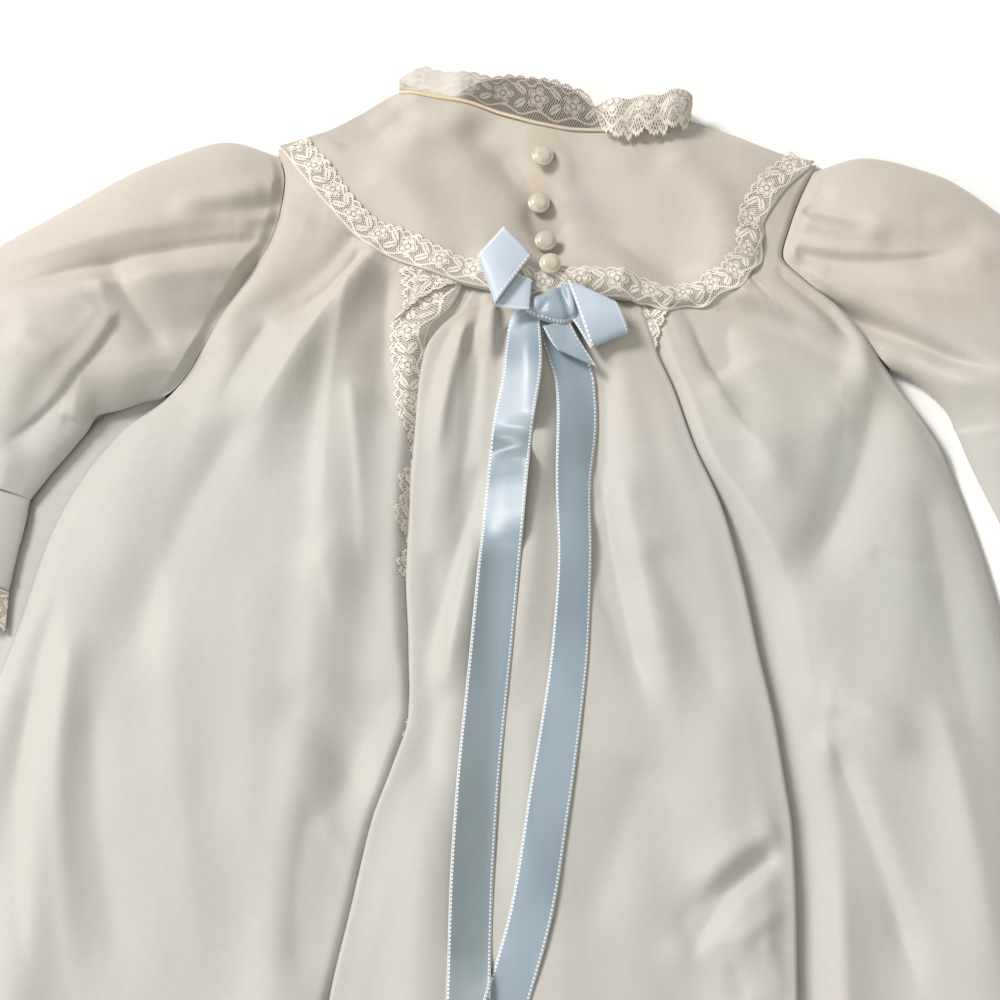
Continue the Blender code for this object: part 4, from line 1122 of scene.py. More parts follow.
class Dress:
    """A material being put together, with short ways to its nodes."""

    def __init__(self, name: str, **sockets: float | tuple) -> None:
        """Starts a material.

        Args:
            name: the finish's name.
            sockets: constants set on the shader, with _ for spaces.
        """
        self.material = bpy.data.materials.new(name)
        self.material.use_nodes = True
        self.tree = self.material.node_tree
        self.shader = self.tree.nodes["Principled BSDF"]
        for title, value in sockets.items():
            self.shader.inputs[title.replace("_", " ")].default_value = value

    def node(self, kind: str, **settings: object) -> bpy.types.Node:
        """Adds a node and sets its properties.

        Args:
            kind: the node's type.
            settings: its properties.

        Returns:
            The node.
        """
        node = self.tree.nodes.new(kind)
        for title, value in settings.items():
            setattr(node, title, value)
        return node

    def chart(self) -> tuple[Field, Field]:
        """Millimetres along and across the piece, from its own UV map.

        Returns:
            The two lengths.
        """
        source = self.node("ShaderNodeUVMap", uv_map="cloth")
        split = self.node("ShaderNodeSeparateXYZ")
        self.tree.links.new(source.outputs["UV"], split.inputs[0])
        return Field(self.tree, split.outputs["X"]), Field(self.tree, split.outputs["Y"])

    def cloud(self, scale: Colour, detail: float, rough: float = 0.5) -> Field:
        """Noise on the piece's own place, from 0 to 1.

        Args:
            scale: how often it changes in a metre, along each axis.
            detail: how many finer layers it has.
            rough: how strong those are.

        Returns:
            The noise.
        """
        where = self.node("ShaderNodeTexCoord")
        spread = self.node("ShaderNodeMapping")
        spread.inputs["Scale"].default_value = scale
        cloud = self.node("ShaderNodeTexNoise")
        cloud.inputs["Scale"].default_value = 1.0
        cloud.inputs["Detail"].default_value = detail
        cloud.inputs["Roughness"].default_value = rough
        self.tree.links.new(where.outputs["Object"], spread.inputs["Vector"])
        self.tree.links.new(spread.outputs["Vector"], cloud.inputs["Vector"])
        return Field(self.tree, cloud.outputs[0])

    def place(self) -> tuple[Field, Field, Field]:
        """Metres across, up and out of the gown.

        Returns:
            The three lengths.
        """
        where = self.node("ShaderNodeTexCoord")
        split = self.node("ShaderNodeSeparateXYZ")
        self.tree.links.new(where.outputs["Object"], split.inputs[0])
        x, y, z = (Field(self.tree, plug) for plug in split.outputs)
        return x, y, z

    def grouped(self, group: bpy.types.NodeTree, **values: Field | float) -> dict[str, Field]:
        """Places a node group and returns its outputs.

        Args:
            group: the node group.
            values: what its inputs take.

        Returns:
            Its outputs, by name.
        """
        node = self.node("ShaderNodeGroup", node_tree=group)
        for title, value in values.items():
            if isinstance(value, Field):
                self.tree.links.new(value.socket, node.inputs[title])
            else:
                node.inputs[title].default_value = value
        return {plug.name: Field(self.tree, plug) for plug in node.outputs}

    def ramp(self, mask: Field, *stops: tuple[float, Colour]) -> Plug:
        """Colour for each value of a mask.

        Args:
            mask: the number from 0 to 1.
            stops: values and their colours.

        Returns:
            The colour.
        """
        node = self.node("ShaderNodeValToRGB")
        band = node.color_ramp
        band.elements[0].position, band.elements[1].position = stops[0][0], stops[-1][0]
        band.elements[0].color = (*stops[0][1], 1.0)
        band.elements[1].color = (*stops[-1][1], 1.0)
        for at, colour in stops[1:-1]:
            band.elements.new(at).color = (*colour, 1.0)
        self.tree.links.new(mask.socket, node.inputs[0])
        return node.outputs[0]

    def mixed(self, mask: Field | float, first: Plug | Colour, second: Plug | Colour) -> Plug:
        """Mix of two colours, each a socket or a plain colour.

        Args:
            mask: share of the second.
            first: the colour where the mask is 0.
            second: the colour where it is 1.

        Returns:
            The mix.
        """
        node = self.node("ShaderNodeMix", data_type="RGBA", blend_type="MIX")
        for plug, value in ((node.inputs[0], mask), (node.inputs[6], first), (node.inputs[7], second)):
            if isinstance(value, Field):
                self.tree.links.new(value.socket, plug)
            elif isinstance(value, Plug):
                self.tree.links.new(value, plug)
            elif isinstance(value, tuple):
                plug.default_value = (*value, 1.0)
            else:
                plug.default_value = value
        return node.outputs[2]

    def link(self, source: Field | Plug, title: str) -> None:
        """Feeds a shader socket."""
        socket = source.socket if isinstance(source, Field) else source
        self.tree.links.new(socket, self.shader.inputs[title])

    def bump(self, *layers: tuple[Field, float, float]) -> None:
        """Relief of the surface.

        Args:
            layers: a height, its strength and its depth in metres, one after another.
        """
        before = None
        for height, strength, depth in layers:
            node = self.node("ShaderNodeBump")
            node.inputs["Strength"].default_value = strength
            node.inputs["Distance"].default_value = depth
            self.tree.links.new(height.socket, node.inputs["Height"])
            if before is not None:
                self.tree.links.new(before, node.inputs["Normal"])
            before = node.outputs["Normal"]
        self.tree.links.new(before, self.shader.inputs["Normal"])


@dataclass(frozen=True)
class ClothFinish:
    """Ivory satin toned unevenly with age, warmer at the yoke than down the skirt, with painted shade
    and shadows.
    """

    weave: bpy.types.NodeTree
    ivory: Colour = (0.546, 0.498, 0.439)
    # The cool and skirt tints are partly the cloth's own tint and partly painted greenish shade.
    cool: Colour = (0.503, 0.512, 0.483)
    blush: Colour = (0.56, 0.504, 0.453)
    skirt: Colour = (0.527, 0.512, 0.483)
    hem: Colour = (0.532, 0.522, 0.497)
    # Painted brown shadow round the buttons.
    button_shadow: Colour = (0.42, 0.345, 0.265)
    dark_fleck: Colour = (0.5, 0.46, 0.4)
    pale_fleck: Colour = (0.85, 0.8, 0.72)
    roughness: float = 0.58

    def material(self, name: str) -> bpy.types.Material:
        """Builds the cloth's material.

        Args:
            name: the material's name.

        Returns:
            The material.
        """
        dress = Dress(
            name,
            Roughness=self.roughness,
            Sheen_Weight=0.3,
            Sheen_Roughness=0.4,
            Specular_IOR_Level=0.25,
        )
        u, v = dress.chart()
        patch = dress.cloud((9.0, 5.0, 9.0), 1.0)
        tint = dress.ramp(patch, (0.36, self.ivory), (0.5, self.ivory), (0.62, self.blush))
        x, y, _ = dress.place()
        below_yoke = (y * -14.0 + 3.6).held()
        # Below the yoke the cloth turns greyer and greener in random patches: partly its own tint,
        # partly painted shade.
        shaded = dress.ramp(
            dress.cloud((11.0, 6.0, 11.0), 1.0), (0.38, self.cool), (0.6, self.skirt)
        )
        tint = dress.mixed(below_yoke, tint, shaded)
        down = (y * -2.2 + 0.5).held()
        toned = dress.mixed(down * 0.55, tint, self.hem)
        # Painted shadow: the yoke turns brown round each button.
        for at_x, at_y in BUTTON_SHADOWS:
            dx, dy = x - at_x * MM, y - at_y * MM
            beside = ((dx * dx + dy * dy * 0.7) * -12000.0 + 1.0).held()
            toned = dress.mixed(beside * 0.6, toned, self.button_shadow)
        speck = dress.cloud((420.0, 420.0, 420.0), 2.0)
        flecks = dress.ramp(speck, (0.3, self.dark_fleck), (0.7, self.pale_fleck))
        dress.link(dress.mixed(0.05, toned, flecks), "Base Color")
        gloss = dress.cloud((60.0, 14.0, 60.0), 2.0)
        dress.link(gloss * 0.16 + (self.roughness - 0.08), "Roughness")
        woven = dress.grouped(self.weave, Along=u, Across=v)["Height"]
        ripple = dress.cloud((55.0, 26.0, 55.0), 2.5)
        dress.bump((ripple, 0.35, 0.0016), (woven, 0.12, 0.00008))
        return dress.material


@dataclass(frozen=True)
class LaceFinish:
    """Cream cotton lace, see-through between its threads, with painted shade at the neck."""

    chart: bpy.types.NodeTree
    width: float
    # Whether the lace carries the painted shade of the neck.
    neck_shade: bool = False
    thread: Colour = (0.86, 0.80, 0.715)
    shade: Colour = (0.74, 0.68, 0.60)
    age: Colour = (0.74, 0.66, 0.56)
    # At the neck: painted shade on the threads, the turned-down part's own colour, and the near-black
    # painted shadow of the gown's inside.
    shaded_thread: Colour = (0.33, 0.28, 0.25)
    turned: Colour = (0.76, 0.70, 0.63)
    dark: Colour = (0.05, 0.038, 0.03)

    def material(self, name: str) -> bpy.types.Material:
        """Builds the lace's material.

        Args:
            name: the material's name.

        Returns:
            The material.
        """
        dress = Dress(name, Roughness=0.8, Sheen_Weight=0.2, Specular_IOR_Level=0.3)
        u, v = dress.chart()
        lace = dress.grouped(self.chart, Along=u, Across=v, Width=self.width)
        toned = dress.cloud((70.0, 70.0, 70.0), 3.0)
        colour = dress.ramp(lace["Relief"], (0.0, self.shade), (0.8, self.thread))
        colour, cover = dress.mixed(toned * 0.25, colour, self.age), lace["Cover"]
        # Painted shade at the neck: the threads are painted darker over the middle, and the low back
        # of the ring is painted near-black and opaque as the shadow of the gown's inside.
        if self.neck_shade:
            x, _, z = dress.place()
            shade_zone = ((x + 0.004).size() * -140.0 + 4.5).held()
            behind = shade_zone * (z * -4000.0 + 7.6).held()
            folded = (x * 250.0 - 7.3).held()
            colour = dress.mixed(shade_zone * 0.72, colour, self.shaded_thread)
            colour = dress.mixed(folded * 0.4, colour, self.turned)
            colour = dress.mixed(behind, colour, self.dark)
            dense = (cover * (folded * 1.4 + 1.0) - shade_zone * 0.12).held()
            cover = dense.most(behind)
        dress.link(colour, "Base Color")
        dress.link(cover, "Alpha")
        thread = dress.cloud((2600.0, 900.0, 2600.0), 1.0)
        dress.bump((lace["Relief"], 0.6, 0.0003), (thread, 0.25, 0.0001))
        return dress.material


@dataclass(frozen=True)
class RibbonFinish:
    """Light blue satin ribbon with a row of silver-white stitches in each selvedge, and painted
    highlight and shade.
    """

    width: float = 16.0
    blue: Colour = (0.25, 0.325, 0.39)
    pale: Colour = (0.33, 0.42, 0.50)
    # Painted highlight on the bow, strongest on its wings.
    wing_highlight: Colour = (0.52, 0.60, 0.71)
    stitch: Colour = (0.86, 0.9, 0.93)
    # Painted satin sheen down the left tail: plain ribbon between stripes of painted highlight and
    # shade.
    plain: Colour = (0.28, 0.36, 0.43)
    sheen_highlight: Colour = (0.47, 0.54, 0.62)
    sheen_shade: Colour = (0.235, 0.305, 0.355)
    # Painted shade on the lower left tail.
    faded: Colour = (0.225, 0.265, 0.27)
    # Where the painted sheen stripes start up the tail and how far they reach, in metres.
    sheen_stripes_low: float = 0.14
    sheen_stripes_reach: float = 0.10

    def material(self, name: str) -> bpy.types.Material:
        """Builds the ribbon's material.

        Args:
            name: the material's name.

        Returns:
            The material.
        """
        dress = Dress(
            name,
            Roughness=0.4,
            Specular_IOR_Level=0.6,
            Sheen_Weight=0.2,
            Anisotropic=0.5,
        )
        u, v = dress.chart()
        tone = dress.cloud((24.0, 16.0, 24.0), 1.5)
        body = dress.ramp(tone, (0.35, self.blue), (0.65, self.pale))
        x, y, _ = dress.place()
        # Painted highlight: the bow is painted paler, most of all on its wings.
        bow = ((y - 0.222) / 0.02).held()
        wings = ((x - 0.006).size() * 250.0 - 1.6).held()
        body = dress.mixed(bow * (wings * 0.8 + 0.2), body, self.wing_highlight)
        # Painted satin sheen: stripes of highlight and shade down the upper left tail.
        sheen_stripes = dress.ramp(
            ((y - self.sheen_stripes_low) / self.sheen_stripes_reach).held(),
            (0.08, self.plain),
            (0.16, self.sheen_highlight),
            (0.25, self.sheen_highlight),
            (0.32, self.sheen_shade),
            (0.48, self.sheen_shade),
            (0.55, self.sheen_highlight),
            (0.74, self.sheen_highlight),
            (0.84, self.plain),
        )
        left_end = (x * -400.0 + 2.4).held() * ((y * -100.0) + 24.0).held()
        body = dress.mixed(left_end * 0.8, body, sheen_stripes)
        # Painted shade: the lower left tail is painted greyer and darker.
        low = (y * -12.0 + 1.6).held() * (x * -300.0 - 3.0).held()
        body = dress.mixed(low * 0.6, body, self.faded)
        from_edge = (v - self.width / 2).size() * -1.0 + self.width / 2
        row = ((from_edge - 0.75).size() * -1.0 + 0.38).inside()
        dash = (u.near(1.5).size() * -1.0 + 0.5).inside(0.2)
        picot = (from_edge * -1.0 + 0.3).inside()
        mask = (row * dash).most(picot * 0.8)
        dress.link(dress.mixed(mask, body, self.stitch), "Base Color")
        dress.link(mask * 0.2 + 0.4, "Roughness")
        rib = u.wave(0.42) * 0.5 + 0.5
        crease = dress.cloud((90.0, 45.0, 90.0), 2.0)
        dress.bump((crease, 0.3, 0.0012), (rib, 0.12, 0.00005), (mask, 0.6, 0.0003))
        return dress.material


@dataclass(frozen=True)
class PearlFinish:
    """Cloudy mother-of-pearl."""

    def material(self, name: str) -> bpy.types.Material:
        """Builds the buttons' material.

        Args:
            name: the material's name.

        Returns:
            The material.
        """
        dress = Dress(
            name,
            Roughness=0.22,
            Coat_Weight=0.6,
            Coat_Roughness=0.08,
            Subsurface_Weight=0.25,
            Subsurface_Scale=0.003,
            Specular_IOR_Level=0.6,
        )
        swirl = dress.cloud((180.0, 260.0, 180.0), 3.0, 0.6)
        tint = dress.ramp(
            swirl, (0.3, (0.52, 0.46, 0.37)), (0.5, (0.60, 0.545, 0.455)), (0.7, (0.66, 0.61, 0.53))
        )
        dress.link(tint, "Base Color")
        dress.link(swirl * 0.2 + 0.14, "Roughness")
        dress.bump((swirl, 0.1, 0.0003))
        return dress.material


@dataclass(frozen=True)
class FloorFinish:
    """Plain pale floor."""

    colour: Colour = (0.985, 0.985, 0.985)

    def material(self, name: str) -> bpy.types.Material:
        """Builds the floor's material.

        Args:
            name: the material's name.

        Returns:
            The material.
        """
        dress = Dress(name, Roughness=0.9, Specular_IOR_Level=0.1)
        paper = dress.cloud((30.0, 30.0, 30.0), 2.0)
        shade = tuple(c * 0.985 for c in self.colour)
        dress.link(dress.ramp(paper, (0.3, shade), (0.7, self.colour)), "Base Color")
        return dress.material


@dataclass(frozen=True)
class Finishes:
    """The gown's finishes."""

    cloth: bpy.types.Material
    ribbon: bpy.types.Material
    pearl: bpy.types.Material
    binding: bpy.types.Material
    chart: bpy.types.NodeTree

    def lace(self, name: str, width: float, neck_shade: bool = False) -> bpy.types.Material:
        """Lace of one width."""
        return LaceFinish(self.chart, width, neck_shade).material(name)


def make_finishes() -> Finishes:
    """Builds the finishes that pieces share.

    Returns:
        The finishes.
    """
    weave = weave_group()
    return Finishes(
        cloth=ClothFinish(weave).material("ivory_satin"),
        ribbon=RibbonFinish().material("blue_satin_ribbon"),
        pearl=PearlFinish().material("pearl_button"),
        binding=ClothFinish(weave, ivory=(0.75, 0.62, 0.40), cool=(0.73, 0.61, 0.42)).material(
            "neck_binding"
        ),
        chart=lace_group(),
    )


def skirt_rows(count: int) -> Grid:
    """Shares of the way down the skirt, closer together beside the yoke."""
    even = np.linspace(0, 1, count)[:, None]
    return smooth_line((0.0, 0.42, 0.6, 1.0), (0.0, 0.17, 0.36, 1.0), even)


@dataclass
class Skirt:
    """Skirt: a back, two front side panels gathered into the yoke and a centre panel."""

    finishes: Finishes
    bed: Bed
    wall: float = 0.45
    side_rows: int = 250
    side_columns: int = 124
    centre_rows: int = 240
    centre_columns: int = 96
    roll: int = 8
    edge_roll: float = 9.0

    def back(self) -> None:
        """Back of the skirt, flat on the surface."""
        across = np.linspace(0.0, 1.0, 41)[None, :]
        down = skirt_rows(61)
        top_x, top_y = seam_point(across, -0.1)
        top_x = np.where(across < 0.001, outline("left", top_y), top_x)
        top_x = np.where(across > 0.999, outline("right", top_y), top_x)
        y = top_y + (HEM_Y - top_y) * down

        def low_x(at: Grid) -> Grid:
            """Place across at the width of the skirt there."""
            left, right = outline("left", at) + 0.4, outline("right", at) - 0.4
            spare = 18.0 * ease((234 - at) / 8) * ease((at - 92) / 60)
            return left - spare + across * (right - left + spare)

        x = low_x(y) + (top_x - low_x(top_y)) * (1 - ease(down / 0.3))
        z = 0.75 + 0.2 * drift(x, y, 30.0, 2.0, 3.0)
        points = np.stack([x, y, z], -1)
        piece = self.sew("skirt_back_cloth", points, "back_skirt")
        declare(piece, Cut(0.50, 0.63, "laid", 0.29))

    def sew(self, name: str, points: Grid, *nodes: str) -> bpy.types.Object:
        """Makes a panel that stands for CAD nodes."""
        piece = sewn_piece(name, points, cloth_chart(points), self.finishes.cloth, self.wall)
        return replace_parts(piece, *nodes)

    def side_top(self, x: Grid, y: Grid) -> Grid:
        """Top of a side panel, which dips under the centre panel.

        Args:
            x: places across.
            y: places up the gown.

        Returns:
            The height at each place.
        """
        top = body_height(x, y) + creases(SIDE_FOLDS, x, y) + creases(SIDE_FINE, x, y, True)
        left, right = centre_edge("left", y) - x, x - centre_edge("right", y)
        low = ease((205 - y) / 60)
        laced = ease((y - 100) / 25)
        beside = ease((left + 3 + laced) / (6 + 4 * laced))
        risen = np.where(left > right, beside, ease((right + 4 - 9 * low) / (10 + 4 * low)))
        top = MARGIN_TOP + (top - MARGIN_TOP) * risen
        return np.maximum(top, MARGIN_TOP)

    def side(self, side: Side) -> None:
        """Side panel, from under the centre panel to the side seam.

        Args:
            side: which of the two.
        """
        edge, way = side.word, side.value
        across = np.linspace(0.0, 1.0, self.side_columns)[None, :]
        down = skirt_rows(self.side_rows)
        inner_top = centre_edge(edge, 271.0) - way * MARGIN_UNDER
        seam_x, _ = along(YOKE_SEAM, np.linspace(0, 1, 400))
        start = np.interp(inner_top, seam_x, np.linspace(0, 1, 400))
        end = 0.0 if side is Side.LEFT else 1.0
        fraction = start + (end - start) * across
        top_x, top_y = seam_point(fraction, TUCK * ease((1 - across) / 0.16))
        top_x = np.where(across > 0.999, outline(edge, top_y) - way * 0.2, top_x)
        y = top_y + (HEM_Y - top_y) * down

        def low_x(at: Grid) -> Grid:
            """Place across at the width of the panel there."""
            inner = centre_edge(edge, np.minimum(at, 266.0)) - way * MARGIN_UNDER
            outer = outline(edge, at) - way * 0.2
            return inner + across * (outer - inner)

        x = low_x(y) + (top_x - low_x(top_y)) * (1 - ease(down / 0.3))
        z = self.side_top(x, y)
        run = fraction * 330.0 + 0 * y
        depth = np.maximum(top_y + 0 * x - y, 0.0) - TUCK
        shown = ease((1 - across) / 0.25) * ease(across / 0.15 + 0.2)
        run = run + 3.0 * drift(x, y, 16.0, 1.6, 8.0 * way)
        full = gathers(run, np.maximum(depth, 0), 5.2, 0.25, 4.0)
        full = full + gathers(run + 40, np.maximum(depth, 0), 12.0, 0.5, 7.0)
        z = z + full * shown
        z = z + 0.7 * drift(x, y, 24.0, 2.4, 5.0 * way) + 1.4 * drift(x, y, 60.0, 2.6, 9.0 * way)
        inside = np.abs(x - outline(edge, y))
        low = 0.95 + (outline("edge", y) - 0.95) * ease((y - 194) / 18)
        fall = np.sqrt(1 - (1 - np.clip(inside / self.edge_roll, 0.0, 1.0)) ** 2.0)
        z = low + (np.maximum(z, low) - low) * fall
        points = np.stack([x + 0 * z, y + 0 * z, z], -1)
        self.bed.add(points)
        piece = self.sew(f"skirt_front_{edge}_cloth", points, f"skirt_front_{edge}")
        declare(piece, Cut(0.20, 0.64, "gathered", 0.115))

    def centre(self) -> None:
        """Centre panel, whose long edges roll under over the side panels."""
        down = np.linspace(0.0, 1.0, self.centre_rows)[:, None] ** 1.1
        y = 272.0 + (HEM_Y - 272.0) * down
        left, right = centre_edge("left", y), centre_edge("right", y)
        radius = FOLD_RADIUS * (0.8 + 0.2 * drift(0 * y, y, 30.0, 1.0, 7.0))
        inner_left, inner_right = left + radius, right - radius
        across = np.linspace(0.0, 1.0, self.centre_columns)[None, :]
        x = inner_left + (inner_right - inner_left) * across
        yy = np.broadcast_to(y, x.shape)
        high = CENTRE_LOW + 2 * radius
        fade = ease(np.minimum(x - inner_left, inner_right - x) / 11.0)
        z = creases(CENTRE_FOLDS, x, yy) + creases(CENTRE_FINE, x, yy, True)
        depth = np.maximum(268.0 - yy, 0.0)
        z = z + gathers(x + 13, depth, 6.0, 0.5, 8.0) + gathers(x + 50, depth, 12.0, 0.8, 24.0)
        z = z + 0.8 * drift(x, yy, 20.0, 2.4, 1.0) + 1.5 * drift(x, yy, 52.0, 2.6, 2.0)
        z = high + (z + 0.6) * fade
        z = np.maximum(z, CENTRE_LOW + 1.2)
        parts = [np.stack([x, yy, z], -1)]
        angles = np.radians(np.linspace(0.0, 180.0, self.roll + 1)[1:])
        for way, far in ((-1, inner_left), (1, inner_right)):
            rolled = [
                np.stack(
                    [
                        far + way * radius * np.sin(a),
                        y,
                        CENTRE_LOW + radius + radius * np.cos(a),
                    ],
                    -1,
                )
                for a in angles
            ]
            for under in (3.0, 6.0, FOLD_UNDER):
                rolled.append(np.stack([far - way * under, y, CENTRE_LOW + 0 * y], -1))
            parts = rolled[::-1] + parts if way < 0 else parts + rolled
        points = np.concatenate(parts, axis=1)
        first = self.roll + 3
        top = points[:, first : first + self.centre_columns]
        points[:, first : first + self.centre_columns] = self.bed.clear(top, 0.9)
        self.bed.add(points[::2, first - 3 : first + self.centre_columns + 3])
        piece = self.sew("skirt_front_center_cloth", points, "skirt_front_center")
        cut = Cut(0.26, 0.64, "gathered", 0.125)
        declare(piece, cut, "skirt_front_left_cloth", "skirt_front_right_cloth")

    def robing(self, side: Side, edge: Table) -> None:
        """Lace down the edge of the centre panel, lying on the side panel.

        Args:
            side: which of the two.
            edge: its inner edge and width, down the skirt.
        """
        rows, columns = 420, 12
        y = np.linspace(edge["y"][0], edge["y"][-1], rows)[:, None]
        t = np.linspace(0.0, 1.0, columns)[None, :]
        width = smooth_line(edge["y"], edge["width"], y)
        out = 4.0 * ease((y - 205) / 20) * ease((262 - y) / 10) if side is Side.LEFT else 0.0 * y
        crumple = ease((196 - y) / 12) * ease((y - 132) / 14) if side is Side.LEFT else 0.0 * y
        x = smooth_line(edge["y"], edge["x"], y) - out - side.value * width * t
        x = x + (1 - t) * (0.7 * np.sin(y / 5.0) + 2.2 * crumple * np.sin(y / 3.1))
        y = np.broadcast_to(y, x.shape)
        y = np.minimum(y, smooth_line(YOKE_SEAM["x"], YOKE_SEAM["y"], x) + TUCK - 2.0)
        ruffle = (1 - t) * (0.5 + 0.5 * np.sin(y / 6.3 + 1.2 * np.sin(y / 17.0)))
        points = self.bed.lay(Strip(x, y, ruffle * (0.7 + 1.8 * crumple)), 1.0, 0.9, 2)
        self.bed.add(points[::3])
        node = f"robing_lace_{side.word}"
        sew_lace(
            self.finishes, node + "_net", "cream_robing_lace", points,
            strip_chart(points, (1 - t) * ROBING_WIDTH), Cut(ROBING_WIDTH * MM, 0.72),
            f"skirt_front_{side.word}_cloth", node,
        )

    def turned_corner(self) -> None:
        """Top end of the left robing lace, turned across under the yoke's lace."""
        t = np.linspace(0.0, 1.0, 60)[:, None]
        k = np.linspace(0.0, 1.0, 10)[None, :]
        edge = {name: smooth_line(CORNER["t"], column, t) for name, column in CORNER.items()}
        x = edge["high_x"] + (edge["low_x"] - edge["high_x"]) * k
        y = edge["high_y"] + (edge["low_y"] - edge["high_y"]) * k
        points = self.bed.lay(Strip(x, y, 0.9 * k * (1 + 0.4 * np.sin(t * 21))), 0.5, 0.3, 3)
        self.bed.add(points[::2])
        sew_lace(
            self.finishes, "robing_lace_left_corner", "cream_corner_lace", points,
            strip_chart(points, k * ROBING_WIDTH), Cut(ROBING_WIDTH * MM, 0.030, "folded", 0.0003),
            "skirt_front_left_cloth",
        )

    def build(self) -> None:
        """Makes the skirt from the back up."""
        self.back()
        for side in Side:
            self.side(side)
        for side, edge in ((Side.LEFT, ROBING_LEFT), (Side.RIGHT, ROBING_RIGHT)):
            self.robing(side, edge)
        self.centre()
        self.turned_corner()


@dataclass
class Yoke:
    """Round yoke with its lace band, the neck binding and the neck lace."""

    finishes: Finishes
    bed: Bed
    wall: float = 0.5
    columns: int = 170
    rows: int = 60
    lace_width: float = 13.0
    neck_lace_width: float = 18.0

    def top(self, x: Grid, y: Grid) -> Grid:
        """Top of the yoke's front."""
        low = np.clip((y - 262) / 40, 0.0, 1.0)
        folds = 2.2 * creases(YOKE_FOLDS, x, y) + creases(YOKE_FINE, x, y)
        return np.maximum(body_height(x, y) + 1.2 - 0.8 * low + folds, SHOULDER_TOP)

    def front(self) -> None:
        """Front yoke, rolled over the shoulders and tucked under along the seam."""
        across = np.linspace(0.0, 1.0, self.columns)[None, :]
        down = np.linspace(0.0, 1.0, self.rows)[:, None]
        top_x, top_y = along(YOKE_TOP, across)
        low_x, low_y = seam_point(across)
        x = top_x + (low_x - top_x) * down
        y = top_y + (low_y - top_y) * down
        z = self.top(x, y) + 1.0 * drift(x, y, 26.0, 1.2, 4.0)
        points = self.bed.clear(np.stack([x, y, z], -1), 0.9)
        shoulder = ease((np.abs(top_x - 3.5) - 60.0) / 6.0)[0]
        rolled = []
        for k in (0.35, 0.7, 1.0):
            over = points[0].copy()
            over[:, 1] += 0.9 * np.sin(k * np.pi / 2) * shoulder + 0.1 * k
            over[:, 2] -= k * (shoulder * (over[:, 2] - 1.4) + (1 - shoulder) * 0.5)
            rolled.append(over)
        tucked = []
        for k in (0.4, 0.75, 1.0):
            under = points[-1].copy()
            sx, sy = seam_point(across[0], -1.3 * np.sin(k * np.pi / 2))
            under[:, 0], under[:, 1] = sx, sy
            under[:, 2] -= 2.2 * k * k
            tucked.append(under)
        points = np.concatenate([np.array(rolled[::-1]), points, np.array(tucked)])
        chart = cloth_chart(points, 1)
        piece = sewn_piece("yoke_front_cloth", points, chart, self.finishes.cloth, self.wall)
        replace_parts(piece, "yoke_front")
        self.bed.add(points)
        self.surface = points
        declare(piece, Cut(0.23, 0.10, "laid", 0.0165), "skirt_front_center_cloth")

    def back(self) -> None:
        """Back yoke, flat on the surface."""
        across = np.linspace(0.0, 1.0, 60)[None, :]
        high_x, high_y = along(YOKE_TOP, across)
        neck = smooth_line(BACK_NECK["x"], BACK_NECK["y"], high_x)
        high_y = np.where((high_x > -58) & (high_x < 65), neck, high_y)
        low_x, low_y = seam_point(across, 0.1)
        down = np.linspace(0.0, 1.0, 16)[:, None]
        x = high_x + (low_x - high_x) * down
        y = high_y + (low_y - high_y) * down
        z = 0.85 + 0.15 * drift(x, y, 20.0, 1.0, 6.0)
        points = np.stack([x, y, z], -1)
        chart = cloth_chart(points, 1)
        piece = sewn_piece("yoke_back_cloth", points, chart, self.finishes.cloth, self.wall)
        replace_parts(piece, "back_yoke")
        declare(piece, Cut(0.23, 0.10, "laid", 0.0155))

    def band(self) -> None:
        """Lace band round the yoke, its straight edge on the seam, its picots inward."""
        rows, columns = 460, 14
        f = np.linspace(0.0, 1.0, rows)[:, None]
        k = np.linspace(0.0, 1.0, columns)[None, :]
        wide = self.lace_width * (0.95 + 0.12 * np.sin(f * 31) * np.sin(f * 7))
        flip = ease((f - 0.60) / 0.03) * ease((0.87 - f) / 0.03)
        start = -1.1 - flip * (1.5 + 2.0 * np.sin(f * 60) ** 2)
        x, y = seam_point(f + 0 * k, start + wide * k)
        ripple = np.sin(f * 95 + 2.2 * np.sin(f * 23)) * 0.5 + 0.5
        centre = np.exp(-(((f - 0.5) / 0.05) ** 2))
        lift = k * ripple * (1.1 - 0.7 * centre) + (1 - k) * flip * 1.4 * (1 - ripple)
        points = self.bed.lay(Strip(x, y, lift, MARGIN_TOP - 0.5), 0.4, 0.3, 4)
        self.bed.add(points[::3])
        sew_lace(
            self.finishes, "yoke_lace_net", "cream_yoke_lace", points,
            strip_chart(points, k * self.lace_width), Cut(self.lace_width * MM, 0.34),
            "yoke_front_cloth", "yoke_lace",
        )

    def binding(self) -> None:
        """Narrow rolled binding along the front neckline."""
        t = np.linspace(0.0, 1.0, 120)[:, None]
        a = np.radians(np.linspace(-150.0, 150.0, 13))[None, :]
        fx, fy = along(NECK_LINE, t)
        z = self.top(fx, fy - 0.8) + 0.5
        y = fy + 0.15 + 0.75 * np.sin(a)
        points = np.stack([fx + 0 * a, y, z + 0.6 * np.cos(a)], -1)
        chart = cloth_chart(points)
        piece = sewn_piece("neck_binding", points, chart, self.finishes.binding, BINDING_WALL)
        declare(piece, Cut(0.010, 0.135, "folded", 0.0005), "yoke_front_cloth")

